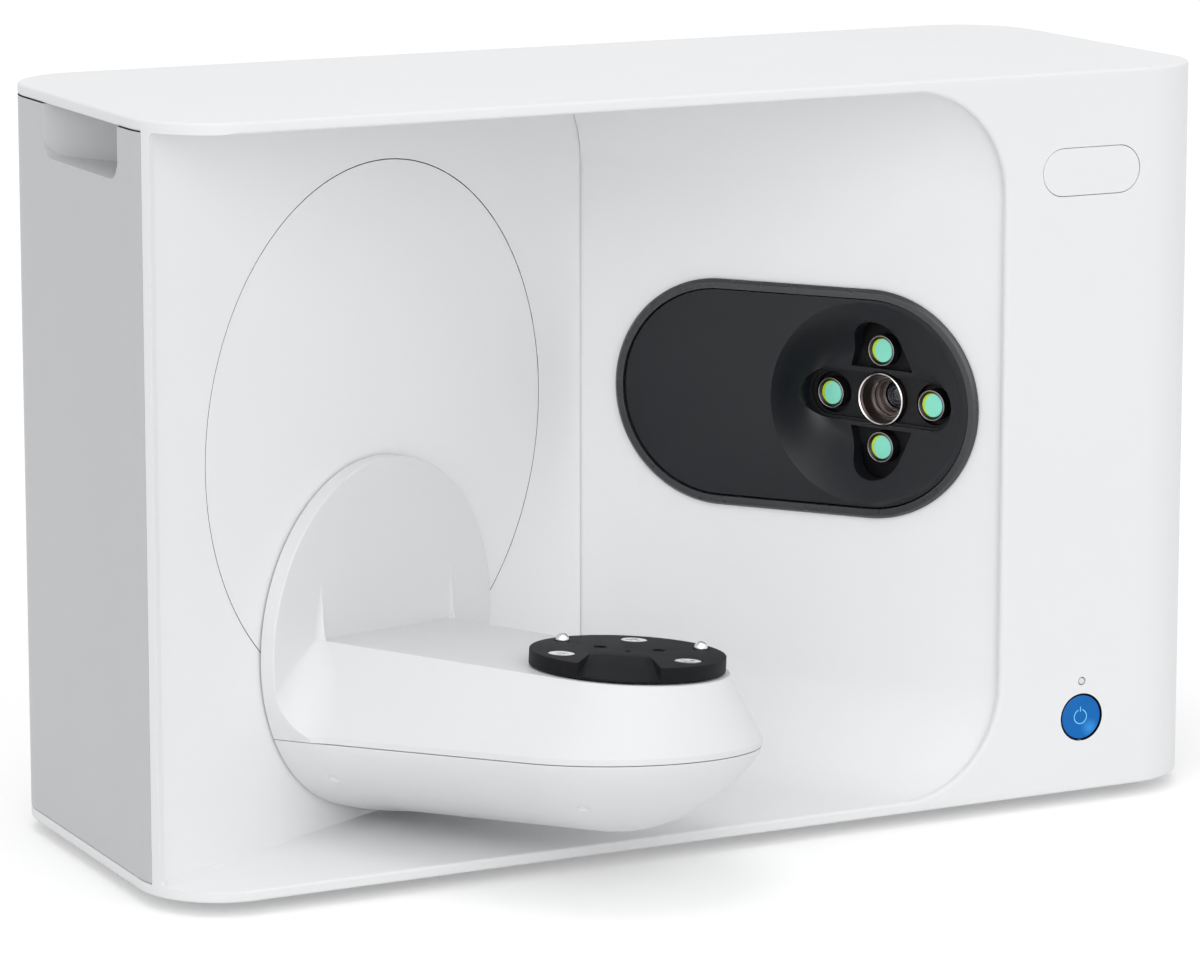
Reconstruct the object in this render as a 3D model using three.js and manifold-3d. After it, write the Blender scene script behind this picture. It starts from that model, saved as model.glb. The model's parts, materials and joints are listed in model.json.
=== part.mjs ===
import * as THREE from 'three';
import { mergeVertices } from 'three/addons/utils/BufferGeometryUtils.js';
import Module from 'manifold-3d';

const wasm = await Module();
wasm.setup();

// Desktop 3D scanner, in millimetres, +Z up. While it is put together, X and Y start at the middle of the
// box in plan, -Y faces the user, and Z starts at the surface that it stands on.

// Box
const BODY_WIDTH = 505;
const BODY_DEPTH = 197.7;
const BODY_HEIGHT = 325;
const FOOT_HEIGHT = 6;
const FOOT_RADIUS = 11;
const FOOT_INSET = 45;
const CORNER_RADIUS = 37.4;
const PLATE = 5;
const SKIN = 3;
const EDGE = 1.2;
const FIT = 0.3;
const OVERRUN = 20;

// Seams and mouth of the housing
const SEAM_SETBACK = 27;
const POST_SETBACK = 21.3;
const FASCIA_WIDTH = 110.2;
const MOUTH_RADIUS = 48;
const MOUTH_LEDGE = 4.9;
const MOUTH_STEPS = 8;
const REAR_SEAM_INSET = 43;

// Scan chamber
const CHAMBER_BACK_SETBACK = 165.6;
const LEFT_WALL_DEG = 28.06;
const RIGHT_WALL_DEG = -51.77;

// Handle pockets
const POCKET_LENGTH = 87;
const POCKET_CENTRE_SETBACK = 93.2;
const POCKET_HEIGHT = 23;
const POCKET_DEPTH = 24;
const POCKET_CORNER = 9;
const POCKET_WALL = 2;

// Swing drive
const SWING_HEIGHT = 174.6;
const SWING_OFF_MIDDLE = 0.6;
const DISC_MARGIN = 27.7;
const DISC_THICKNESS = 4;
const PHOTO_TILT_DEG = 4.6;
const SHAFT_RADIUS = 10;
const SHAFT_LENGTH = 62;
const SHAFT_FLANGE_RADIUS = 26;
const SHAFT_FLANGE_THICKNESS = 3;
const RUNNING_GAP = 0.25;
const BIG_PULLEY_RADIUS = 66;
const SMALL_PULLEY_RADIUS = 11;
const PULLEY_WIDTH = 9;
const PULLEY_RIM = 9;
const PULLEY_HUB_RADIUS = 18;
const PULLEY_SPOKES = 5;
const PULLEY_SPOKE_WIDTH = 9;
const BELT_THICKNESS = 1.6;
const BELT_WIDTH = 7;
const PULLEY_SPACING = 104;
const DRIVE_TURN_DEG = -108;
const CHASSIS_THICKNESS = 3;
const CHASSIS_HALF_WIDTH = 62;
const CHASSIS_RISE = 44;
const CHASSIS_GAP = 7;
const CHASSIS_FOOT = 26;
const BEARING_HOUSING_RADIUS = 20;
const BEARING_FLANGE_RADIUS = 31;
const BEARING_FLANGE_THICKNESS = 4;
const BEARING_HOUSING_LENGTH = 30;
const SWING_MOTOR_SIDE = 42;
const SWING_MOTOR_LENGTH = 38;
const MOTOR_CORNER = 5;
const MOTOR_SHAFT_RADIUS = 2.5;
const MOTOR_BOSS_RADIUS = 9;
const MOTOR_BOSS_HEIGHT = 1.6;
const MOTOR_SHAFT_GRIP = 14;
const MOTOR_BORE_DEPTH = 6;

// Swing arm: heights from the middle of its round flange, reaches from the left wall
const FLANGE_RADIUS = 77;
const ARM_FLOOR_GAP = 4.6;
const FLANGE_GAP = 1;
const FLANGE_THICKNESS = 7;
const PAD_RADIUS = 42;
const PAD_ABOVE = 24;
const ARM_TOP_RISE = 1.5;
const ARM_TOP_HALF = 46;
const ARM_TOP_NOSE_RADIUS = 43.4;
const SPLIT_BELOW = 40.2;
const SPLIT_SLOPE_SHARE = 0.065;
const LIP_NOSE_RADIUS = 63.4;
const LIP_NOSE_REACH = 130.2;
const LIP_HEIGHT = 2;
const ARM_WALL = 2.6;
const FILLET_TOP_RADIUS = 4;
const FILLET_LIP_RADIUS = 22;
const FILLET_SPREAD_SHARE = 2.5;
const FILLET_STEPS = 5;
const SIDE_STEPS = 4;
const LEVEL_STEPS = 4;
const NOSE_STEPS = 18;
const BELLY_STEPS = 14;
const BELLY_SIDE_STEPS = 4;
const BELLY_POWER_SHARE = 1.62;
const BELLY_NOSE_POWER_SHARE = 1.5;
const BELLY_NOSE_SHARE = 1.4;
const SCREW_NEAR_SIDE = 53.4;
const SCREW_NEAR_REACH = 24.8;
const SCREW_FAR_SIDE = 41.8;
const SCREW_FAR_REACH = 146.8;
const SCREW_POST_RADIUS = 6.5;
const DIMPLE_RADIUS = 2.6;
const DIMPLE_DEPTH = 1.3;
const FRAME_PLATE = 3;
const FRAME_BELOW = 18;
const FRAME_HALF_WIDTH = 24;
const FRAME_BEYOND = 22;
const FRAME_TAB_RISE = 12;

// Turntable
const TURNTABLE_REACH = 136.2;
const TURNTABLE_RADIUS = 41.5;
const TURNTABLE_THICKNESS = 6.5;
const TURNTABLE_GAP = 0.7;
const TURNTABLE_EDGE = 0.6;
const NOTCH_DEEP = 5.8;
const NOTCH_INNER = 12.3;
const NOTCH_INNER_LEFT = 15;
const NOTCH_INNER_RIGHT = 10.8;
const NOTCH_OUTER_HALF = 18;
const NOTCH_DEG = -150;
const MAGNET_DEGS = [-90, 150, 30];
const BALL_DEGS = [-30, 90];
const MAGNET_RING = 30.6;
const MAGNET_RADIUS = 5.8;
const MAGNET_THICKNESS = 3;
const BALL_RING = 34;
const BALL_RADIUS = 2.9;
const BALL_RISE = 0.4;
const BALL_STEPS = 8;
const SCREW_RING = 14.3;
const SCREW_HOLE_RADIUS = 2.9;
const SCREW_HOLE_DEPTH = 2.2;
const CENTRE_HOLE_RADIUS = 1.2;
const HUB_RADIUS = 12;
const HUB_HEIGHT = 6;
const HUB_HOLE_RADIUS = 15;
const SPINDLE_RADIUS = 8;
const SPINDLE_TIP_RADIUS = 2.5;
const SPINDLE_TIP_LENGTH = 8;
const BEARING_RADIUS = 17;
const BEARING_HEIGHT = 9;
const TABLE_MOTOR_SIDE = 35;
const TABLE_MOTOR_LENGTH = 30;

// Scan head, on the right wall
const HEAD_ALONG = 106.5;
const HEAD_HEIGHT = 174.5;
const HEAD_HALF_SPAN = 36.5;
const BEZEL_RADIUS = 51.8;
const BEZEL_INNER_RADIUS = 47.5;
const BEZEL_PROUD = 2.8;
const BEZEL_BEVEL = 1.4;
const SLEEVE_WALL = 1.6;
const SLEEVE_DEPTH = 9;
const FACE_GAP = 0.45;
const FACE_PROUD = 1.2;
const FACE_THICKNESS = 4;
const DISH_RADIUS = 45.6;
const DISH_OFFSET = 34.2;
const OPTICS_OFFSET = 36.5;
const OPTICS_DEPTH = 13;
const OPTICS_TURN_DEG = -11.7;
const DISH_FLOOR_RADIUS = 30;
const DISH_CURVE_RADIUS = 37;
const DISH_CURVE_RISE = 3;
const DISH_WALL = 5;
const DISH_SEGMENTS = 32;
const TRAY_HALF_SPAN = 28;
const TRAY_RADIUS = 10.6;
const TRAY_DEPTH = 2;
const CAMERA_SIDE = 27;
const CAMERA_RISE = 22;
const CAMERA_RADIUS = 6.9;
const CAMERA_LENGTH = 12;
const CAMERA_HOLE_RADIUS = 9.4;
const CAMERA_FRONT = 0.6;
const CAMERA_BOARD = 18;
const CAMERA_BOARD_THICKNESS = 2;
const FILTER_RADIUS = 5.4;
const FILTER_THICKNESS = 1.2;
const POCKET_BASE_RISE = 13.4;
const POCKET_BASE_HALF = 15;
const POCKET_END_RISE = 24;
const POCKET_END_RADIUS = 9.2;
const POCKET_SINK = 3.4;
const POCKET_LEAN_SHARE = 0.3;
const PROJECTOR_RADIUS = 12;
const PROJECTOR_LENGTH = 30;
const PROJECTOR_BORE = 10.6;
const PROJECTOR_BORE_END = 6.4;
const PROJECTOR_BORE_DEPTH = 15;
const RING_WIDTH = 1;
const RING_THICKNESS = 1;
const LENS_BULGE = 2.2;
const LENS_EDGE = 0.8;
const LENS_STEPS = 6;
const CARRIER_RADIUS = 41;
const CARRIER_THICKNESS = 4;
const CARRIER_CLEARANCE = 0.25;
const PROJECTOR_BODY_WIDTH = 58;
const PROJECTOR_BODY_HEIGHT = 44;
const PROJECTOR_BODY_LENGTH = 62;

// Front controls and insert
const BUTTON_INSET = 67.5;
const BUTTON_HEIGHT = 33.9;
const BUTTON_RADIUS = 10.25;
const BUTTON_GAP = 0.6;
const BUTTON_DISH = 0.7;
const BUTTON_DISH_RISE = 0.24;
const BUTTON_EDGE = 0.6;
const BUTTON_LENGTH = 8;
const BUTTON_SINK = 0.3;
const BUTTON_COLLAR = 1.6;
const BUTTON_COLLAR_THICKNESS = 1.5;
const BUTTON_TRAVEL = 1.5;
const HOLDER_WALL = 1.2;
const SWITCH_SIDE = 6;
const SWITCH_PLUNGER = 2;
const LIGHT_RISE = 16.5;
const LIGHT_RADIUS = 1.85;
const LIGHT_LENGTH = 9;
const LIGHT_FLANGE = 0.8;
const BADGE_INSET = 66.7;
const BADGE_DROP = 44.2;
const BADGE_HALF_SPAN = 14.3;
const BADGE_RADIUS = 10.5;
const BADGE_FLANGE = 2;
const BADGE_FLANGE_THICKNESS = 1.6;

// Rear panel and what is behind the chamber
const VENT_WIDTH = 3;
const VENT_PITCH = 6.5;
const VENT_ROWS = 7;
const VENT_LENGTH = 92;
const VENT_INSET = 132.5;
const VENT_HEIGHT = 70;
const FAN_SIDE = 60;
const FAN_DEPTH = 15;
const FAN_INSET = 102.5;
const FAN_DROP = 80;
const FAN_BORE = 27.5;
const FAN_HUB = 12;
const FAN_BLADES = 7;
const FAN_BLADE_DEG = 34;
const FAN_BLADE_THICKNESS = 1.2;
const FAN_TIP_GAP = 1;
const FAN_RUN = 0.8;
const FAN_STRUT = 3;
const GRILLE_SLOT = 3.2;
const GRILLE_PITCH = 6.4;
const GRILLE_HALF_COUNT = 4;
const BOARD_WIDTH = 150;
const BOARD_HEIGHT = 100;
const BOARD_THICKNESS = 1.6;
const CHIP_SIDE = 9;
const CHIP_HEIGHT = 1.4;
const BOARD_INSET = 147.5;
const BOARD_BASE = 50;
const STANDOFF = 7;
const STANDOFF_RADIUS = 3.5;
const STANDOFF_INSET = 8;
const DATA_PORT_WIDTH = 12;
const DATA_PORT_HEIGHT = 11;
const PORT_WALL = 1;
const DATA_PORT_INSET = 102.5;
const DATA_PORT_RISE = 12;
const DATA_TONGUE = 2.75;
const INLET_WIDTH = 28;
const INLET_HEIGHT = 20;
const INLET_LENGTH = 24;
const INLET_INSET = 66.5;
const INLET_CORNER = 4;
const INLET_WELL_CORNER = 2;
const INLET_PIN_SIDE = 6;
const INLET_BASE = 30;
const INLET_WALL = 2.4;
const INLET_WELL = 16;
const INLET_PIN = 2.2;
const SUPPLY_WIDTH = 100;
const SUPPLY_DEPTH = 48;
const SUPPLY_HEIGHT = 34;
const SUPPLY_INSET = 80.5;
const SUPPLY_REAR_SETBACK = 41.7;

// Facets of round forms, steps of arcs, and turns
const DISC_FACETS = 72;
const WHEEL_FACETS = 60;
const PLATE_FACETS = 48;
const BUTTON_FACETS = 40;
const BARREL_FACETS = 36;
const SOCKET_FACETS = 28;
const SHAFT_FACETS = 24;
const BORE_FACETS = 20;
const DIMPLE_FACETS = 18;
const PIN_FACETS = 16;
const POST_FACETS = 14;
const STUD_FACETS = 12;
const BELT_STEPS = 14;
const OVAL_STEPS = 10;
const SMALL_OVAL_STEPS = 7;
const POCKET_STEPS = 6;
const ARC_STEPS = 5;
const POCKET_CORNER_STEPS = 3;
const CORNER_STEPS = 2;
const QUARTER_TURN = 90;
const FULL_TURN = 360;

// Worked out from the sizes above
const HALF_WIDTH = BODY_WIDTH / 2;
const HALF_DEPTH = BODY_DEPTH / 2;
const FLOOR = FOOT_HEIGHT + PLATE;
const CEILING = FOOT_HEIGHT + BODY_HEIGHT - PLATE;
const REACH_ALL = BODY_WIDTH + BODY_DEPTH;
const LEFT_TURN = THREE.MathUtils.degToRad(LEFT_WALL_DEG);
const RIGHT_TURN = THREE.MathUtils.degToRad(RIGHT_WALL_DEG);
const MOUTH_RIGHT = HALF_WIDTH - FASCIA_WIDTH;
const CHAMBER_BACK_X = MOUTH_RIGHT + MOUTH_LEDGE + CHAMBER_BACK_SETBACK / Math.tan(RIGHT_TURN);
const CHAMBER_BACK_Y = CHAMBER_BACK_SETBACK - HALF_DEPTH;
const LEFT_WALL_LENGTH = (CHAMBER_BACK_X + HALF_WIDTH - SKIN) / Math.cos(LEFT_TURN);
const SWING_ALONG = LEFT_WALL_LENGTH / 2 - SWING_OFF_MIDDLE;
const SWING_ROOM = Math.min(SWING_ALONG, SWING_HEIGHT - PLATE, BODY_HEIGHT - PLATE - SWING_HEIGHT);
const DISC_RADIUS = SWING_ROOM - DISC_MARGIN;
const FLANGE_FRONT = FLANGE_GAP + FLANGE_THICKNESS;
const FLANGE_DROP = SWING_HEIGHT - PLATE - ARM_FLOOR_GAP - FLANGE_RADIUS;
const PAD_DROP = FLANGE_DROP - PAD_ABOVE;
const ARM_TOP_DROP = FLANGE_DROP - ARM_TOP_RISE;
const SPLIT_DROP = FLANGE_DROP + SPLIT_BELOW;
const FRAME_DROP = FLANGE_DROP + FRAME_BELOW;
const LIP_HALF = Math.sqrt(FLANGE_RADIUS ** 2 - SPLIT_BELOW ** 2);
const BELLY_DEPTH = FLANGE_RADIUS - SPLIT_BELOW;
const PLATE_TOP_DROP = ARM_TOP_DROP - TURNTABLE_GAP - TURNTABLE_THICKNESS;
const BUTTON_X = HALF_WIDTH - BUTTON_INSET;
const BADGE_X = HALF_WIDTH - BADGE_INSET;
const BADGE_HEIGHT = BODY_HEIGHT - BADGE_DROP;
const VENT_X = VENT_INSET - HALF_WIDTH;
const FAN_X = HALF_WIDTH - FAN_INSET;
const FAN_HEIGHT = BODY_HEIGHT - FAN_DROP;
const BOARD_X = HALF_WIDTH - BOARD_INSET;
const DATA_PORT_X = HALF_WIDTH - DATA_PORT_INSET;
const INLET_X = HALF_WIDTH - INLET_INSET;
const SUPPLY_X = HALF_WIDTH - SUPPLY_INSET;

// Finishes
function finish(color, roughness, metalness = 0) {
  return new THREE.MeshStandardMaterial({ color, roughness, metalness });
}

const WHITE = finish(0xe9eaec, 0.42);
const CHAMBER_WHITE = finish(0xe6e7e9, 0.55);
const BLACK = finish(0x17181b, 0.5);
const BLACK_GLOSS = finish(0x1c1d20, 0.25);
const DARK_GREY = finish(0x2a2b2f, 0.6);
const BLUE = finish(0x0a63b8, 0.3);
const RUBBER = finish(0x1f2022, 0.9);
const STEEL = finish(0xc9cbce, 0.25, 1);
const ALUMINIUM = finish(0xb5b8bc, 0.4, 1);
const MINT = finish(0x7fd9b0, 0.12);
const GLASS = finish(0x25303c, 0.05);
const CLEAR = finish(0xdadcdf, 0.3);
const BOARD_GREEN = finish(0x1d5c3a, 0.6);
const IVORY = finish(0xd8d6cc, 0.6);

// Shapes

function stadium(halfSpan, radius) {
  const shape = new THREE.Shape();
  shape.absarc(halfSpan, 0, radius, -Math.PI / 2, Math.PI / 2);
  shape.absarc(-halfSpan, 0, radius, Math.PI / 2, 3 * Math.PI / 2);
  return shape;
}

function roundedRectangle(width, height, radius) {
  const shape = new THREE.Shape();
  const x = width / 2 - radius;
  const y = height / 2 - radius;
  shape.absarc(x, -y, radius, -Math.PI / 2, 0);
  shape.absarc(x, y, radius, 0, Math.PI / 2);
  shape.absarc(-x, y, radius, Math.PI / 2, Math.PI);
  shape.absarc(-x, -y, radius, Math.PI, 3 * Math.PI / 2);
  return shape;
}

function polygon(points) {
  return new THREE.Shape(points.map(([x, y]) => new THREE.Vector2(x, y)));
}

function rectangle(left, bottom, right, top) {
  return polygon([[left, bottom], [right, bottom], [right, top], [left, top]]);
}

// Solids

function solid(geometry) {
  geometry.deleteAttribute('normal');
  geometry.deleteAttribute('uv');
  const merged = mergeVertices(geometry);
  const positions = merged.getAttribute('position').array;
  const index = merged.index.array;
  const kept = [];
  for (let i = 0; i < index.length; i += 3) {
    const [a, b, c] = index.slice(i, i + 3);
    if (a !== b && b !== c && c !== a) {
      kept.push(a, b, c);
    }
  }
  const made = closed(positions, kept);
  return made.volume() < 0 ? closed(positions, kept.reverse()) : made;
}

function closed(positions, triangles) {
  return new wasm.Manifold(new wasm.Mesh({
    numProp: 3,
    vertProperties: Float32Array.from(positions),
    triVerts: Uint32Array.from(triangles),
  }));
}

function upright(shape, low, high, curveSegments = ARC_STEPS, bevel = 0) {
  const geometry = new THREE.ExtrudeGeometry(shape, {
    depth: high - low - 2 * bevel,
    curveSegments,
    bevelEnabled: bevel > 0,
    bevelThickness: bevel,
    bevelSize: bevel,
    bevelOffset: -bevel,
    bevelSegments: 1,
  });
  geometry.translate(0, 0, low + bevel);
  return solid(geometry);
}

function facing(shape, front, back, curveSegments = ARC_STEPS) {
  const geometry = new THREE.ExtrudeGeometry(shape, {
    depth: back - front,
    curveSegments,
    bevelEnabled: false,
  });
  geometry.rotateX(Math.PI / 2);
  geometry.translate(0, back, 0);
  return solid(geometry);
}

function turned(profile, segments = SHAFT_FACETS) {
  const points = profile.map(([radius, y]) => new THREE.Vector2(radius, y));
  return solid(new THREE.LatheGeometry(points, segments));
}

function box(left, right, front, back, low, high) {
  const geometry = new THREE.BoxGeometry(right - left, back - front, high - low);
  geometry.translate((left + right) / 2, (front + back) / 2, (low + high) / 2);
  return solid(geometry);
}

function pole(radius, front, back, segments = SHAFT_FACETS) {
  return turned([[0, front], [radius, front], [radius, back], [0, back]], segments);
}

function loft(rings) {
  const count = rings[0].length;
  const index = [];
  for (let step = 0; step < rings.length - 1; step += 1) {
    for (let i = 0; i < count; i += 1) {
      const a = step * count + i;
      const b = step * count + (i + 1) % count;
      index.push(a, b, b + count, a, b + count, a + count);
    }
  }
  const last = (rings.length - 1) * count;
  for (let i = 0; i < (count - 1) / 2; i += 1) {
    const j = count - 1 - i;
    index.push(i, j - 1, i + 1, i, j, j - 1);
    index.push(last + i, last + i + 1, last + j - 1, last + i, last + j - 1, last + j);
  }
  const geometry = new THREE.BufferGeometry().setFromPoints(rings.flat());
  geometry.setIndex(index);
  return solid(geometry);
}

function moved(piece, x, y, z) {
  return piece.translate([x, y, z]);
}

function spun(piece, xDeg, yDeg, zDeg) {
  return piece.rotate([xDeg, yDeg, zDeg]);
}

function union(pieces) {
  return pieces.reduce((whole, piece) => whole.add(piece));
}

function mesh(name, piece, material) {
  const { vertProperties, triVerts } = piece.getMesh();
  const geometry = new THREE.BufferGeometry();
  geometry.setAttribute('position', new THREE.BufferAttribute(vertProperties, 3));
  geometry.setIndex(new THREE.BufferAttribute(triVerts, 1));
  const flat = geometry.toNonIndexed();
  flat.computeVertexNormals();
  const made = new THREE.Mesh(flat, material);
  made.name = name;
  return made;
}

// Box of the scanner

function bodyShape(inset) {
  return roundedRectangle(BODY_WIDTH - 2 * inset, BODY_DEPTH - 2 * inset, CORNER_RADIUS - inset);
}

function skinBand(low, high) {
  return upright(bodyShape(0), low, high).subtract(upright(bodyShape(SKIN), low - OVERRUN, high + OVERRUN));
}

function insideSkin() {
  return upright(bodyShape(SKIN + FIT), FLOOR + FIT, CEILING - FIT);
}

function mouthCut() {
  const right = MOUTH_RIGHT - MOUTH_RADIUS;
  const shape = new THREE.Shape();
  shape.moveTo(-BODY_WIDTH, FLOOR);
  shape.lineTo(right, FLOOR);
  shape.absarc(right, FLOOR + MOUTH_RADIUS, MOUTH_RADIUS, -Math.PI / 2, 0);
  shape.absarc(right, CEILING - MOUTH_RADIUS, MOUTH_RADIUS, 0, Math.PI / 2);
  shape.lineTo(-BODY_WIDTH, CEILING);
  return facing(shape, -HALF_DEPTH - OVERRUN, -HALF_DEPTH + POST_SETBACK);
}

function mainHousing() {
  const base = upright(bodyShape(0), FOOT_HEIGHT, FLOOR, ARC_STEPS, EDGE);
  const top = upright(bodyShape(0), CEILING, FOOT_HEIGHT + BODY_HEIGHT, ARC_STEPS, EDGE);
  const seam = -HALF_DEPTH + SEAM_SETBACK;
  const front = box(-BODY_WIDTH, BODY_WIDTH, -BODY_DEPTH, seam, 0, 2 * BODY_HEIGHT);
  const band = skinBand(FLOOR - PLATE / 2, CEILING + PLATE / 2).intersect(front).subtract(mouthCut());
  const buttonHole = pole(BUTTON_RADIUS + BUTTON_GAP, -OVERRUN, OVERRUN);
  const lightHole = pole(LIGHT_RADIUS + FIT, -OVERRUN, OVERRUN, PIN_FACETS);
  const badgeHole = facing(stadium(BADGE_HALF_SPAN, BADGE_RADIUS + FIT), -OVERRUN, OVERRUN);
  return union([base, top, band])
    .subtract(moved(buttonHole, BUTTON_X, -HALF_DEPTH, FOOT_HEIGHT + BUTTON_HEIGHT))
    .subtract(moved(lightHole, BUTTON_X, -HALF_DEPTH, FOOT_HEIGHT + BUTTON_HEIGHT + LIGHT_RISE))
    .subtract(moved(badgeHole, BADGE_X, -HALF_DEPTH, FOOT_HEIGHT + BADGE_HEIGHT));
}

function pocketShape(grow) {
  const half = POCKET_LENGTH / 2 + grow;
  const corner = POCKET_CORNER + grow;
  const low = CEILING - POCKET_HEIGHT - grow;
  const shape = new THREE.Shape();
  shape.moveTo(-half, CEILING - FIT + OVERRUN);
  shape.lineTo(-half, low + corner);
  shape.absarc(-half + corner, low + corner, corner, Math.PI, 3 * Math.PI / 2);
  shape.absarc(half - corner, low + corner, corner, -Math.PI / 2, 0);
  shape.lineTo(half, CEILING - FIT + OVERRUN);
  return shape;
}

function pocketPlan(grow) {
  const half = POCKET_LENGTH / 2 + grow;
  const shape = new THREE.Shape();
  const depth = POCKET_DEPTH + grow;
  const radius = (half ** 2 + depth ** 2) / (2 * depth);
  const sweep = Math.asin(half / radius);
  shape.absarc(0, depth - radius, radius, Math.PI / 2 - sweep, Math.PI / 2 + sweep);
  shape.lineTo(-half, -OVERRUN);
  shape.lineTo(half, -OVERRUN);
  return shape;
}

function pocketForm(grow) {
  const outline = facing(pocketShape(grow), -OVERRUN, POCKET_DEPTH + OVERRUN, POCKET_CORNER_STEPS);
  const plan = upright(pocketPlan(grow), 0, 2 * BODY_HEIGHT, POCKET_STEPS);
  return outline.intersect(plan);
}

function sidePanel(side) {
  const seam = -HALF_DEPTH + SEAM_SETBACK + FIT;
  const edge = HALF_WIDTH - REAR_SEAM_INSET;
  const centre = -HALF_DEPTH + POCKET_CENTRE_SETBACK;
  const region = side < 0
    ? box(-BODY_WIDTH, -edge, seam, BODY_DEPTH, FLOOR + FIT, CEILING - FIT)
    : box(edge, BODY_WIDTH, seam, BODY_DEPTH, FLOOR + FIT, CEILING - FIT);
  const below = box(-BODY_WIDTH, BODY_WIDTH, -BODY_DEPTH, BODY_DEPTH, 0, CEILING - FIT);
  const place = form => moved(spun(form, 0, 0, QUARTER_TURN * side), side * HALF_WIDTH, centre, 0);
  const outside = skinBand(FLOOR, CEILING).intersect(region);
  const behind = upright(bodyShape(0), FLOOR, CEILING);
  const bucket = place(pocketForm(POCKET_WALL)).intersect(below).intersect(behind);
  return outside.add(bucket).subtract(place(pocketForm(0)));
}

function foot(side, rear) {
  const tread = FOOT_RADIUS - EDGE;
  const top = FOOT_HEIGHT - FIT;
  const profile = [[0, 0], [tread, 0], [FOOT_RADIUS, EDGE], [FOOT_RADIUS, top], [0, top]];
  const pad = spun(turned(profile, SOCKET_FACETS), QUARTER_TURN, 0, 0);
  return moved(pad, side * (HALF_WIDTH - FOOT_INSET), rear * (HALF_DEPTH - FOOT_INSET), 0);
}

// Chamber walls, each in its own frame: X along the wall, +Y into the machine

function chamberLeftWall() {
  const slab = box(-REACH_ALL, SWING_ALONG - 2 * FIT, 0, SKIN, -REACH_ALL, REACH_ALL);
  const hole = pole(DISC_RADIUS, -OVERRUN, OVERRUN, DISC_FACETS);
  const wall = moved(spun(slab.subtract(hole), 0, 0, LEFT_WALL_DEG), ...swingPlace());
  return wall.intersect(insideSkin());
}

function swingPlace() {
  return [
    CHAMBER_BACK_X - SWING_ALONG * Math.cos(LEFT_TURN),
    CHAMBER_BACK_Y - SWING_ALONG * Math.sin(LEFT_TURN),
    FOOT_HEIGHT + SWING_HEIGHT,
  ];
}

function headPlace() {
  return [
    CHAMBER_BACK_X + HEAD_ALONG * Math.cos(RIGHT_TURN),
    CHAMBER_BACK_Y + HEAD_ALONG * Math.sin(RIGHT_TURN),
    FOOT_HEIGHT + HEAD_HEIGHT,
  ];
}

function chamberRoom() {
  const run = Math.abs(1 / Math.tan(RIGHT_TURN));
  const ring = (y) => {
    const right = CHAMBER_BACK_X + (CHAMBER_BACK_Y - y) * run;
    const points = [];
    for (const [centre, start] of [[FLOOR + MOUTH_RADIUS, -Math.PI / 2], [CEILING - MOUTH_RADIUS, 0]]) {
      for (let step = 0; step <= MOUTH_STEPS; step += 1) {
        const angle = start + Math.PI / 2 * step / MOUTH_STEPS;
        const x = right - MOUTH_RADIUS + MOUTH_RADIUS * Math.cos(angle);
        points.push(new THREE.Vector3(x, y, centre + MOUTH_RADIUS * Math.sin(angle)));
      }
    }
    points.push(new THREE.Vector3(-REACH_ALL, y, CEILING));
    points.push(new THREE.Vector3(-REACH_ALL, y, FLOOR));
    return points;
  };
  return loft([ring(-BODY_DEPTH), ring(BODY_DEPTH)]);
}

function chamberRightWall() {
  const back = [CHAMBER_BACK_X, CHAMBER_BACK_Y, 0];
  const slab = box(-SKIN, REACH_ALL, -MOUTH_RADIUS, SKIN, 0, 2 * BODY_HEIGHT);
  const wall = moved(spun(slab, 0, 0, RIGHT_WALL_DEG), ...back);
  const beyond = box(-REACH_ALL, -FIT, -FIT, REACH_ALL, 0, 2 * BODY_HEIGHT);
  const oval = stadium(HEAD_HALF_SPAN, BEZEL_INNER_RADIUS + SLEEVE_WALL + FIT);
  const hole = facing(oval, -OVERRUN, OVERRUN, OVAL_STEPS);
  return wall
    .subtract(chamberRoom())
    .subtract(moved(spun(beyond, 0, 0, LEFT_WALL_DEG), ...back))
    .subtract(moved(spun(hole, 0, 0, RIGHT_WALL_DEG), ...headPlace()))
    .intersect(insideSkin());
}

// Placing: pieces of the swing drive and the arm are made about the swing axis, which is local Y, and
// pieces of the scan head about the middle of its oval

function onLeftWall(piece) {
  return moved(spun(piece, 0, 0, LEFT_WALL_DEG), ...swingPlace());
}

function onArm(piece) {
  return onLeftWall(spun(piece, 0, PHOTO_TILT_DEG, 0));
}

function onRightWall(piece) {
  return moved(spun(piece, 0, 0, RIGHT_WALL_DEG), ...headPlace());
}

function onOptics(piece) {
  return onRightWall(fromOptics(piece));
}

function fromOptics(piece) {
  return moved(spun(piece, 0, 0, OPTICS_TURN_DEG), OPTICS_OFFSET, OPTICS_DEPTH, 0);
}

// Swing drive

function swingDisc() {
  return pole(DISC_RADIUS - FIT, 0, DISC_THICKNESS, DISC_FACETS);
}

function swingShaft() {
  const front = DISC_THICKNESS + FIT;
  const step = front + SHAFT_FLANGE_THICKNESS;
  return turned([[0, front], [SHAFT_FLANGE_RADIUS, front], [SHAFT_FLANGE_RADIUS, step],
    [SHAFT_RADIUS, step], [SHAFT_RADIUS, front + SHAFT_LENGTH], [0, front + SHAFT_LENGTH]]);
}

function pulleyFront() {
  return DISC_THICKNESS + SHAFT_FLANGE_THICKNESS + 2 * FIT;
}

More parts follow.
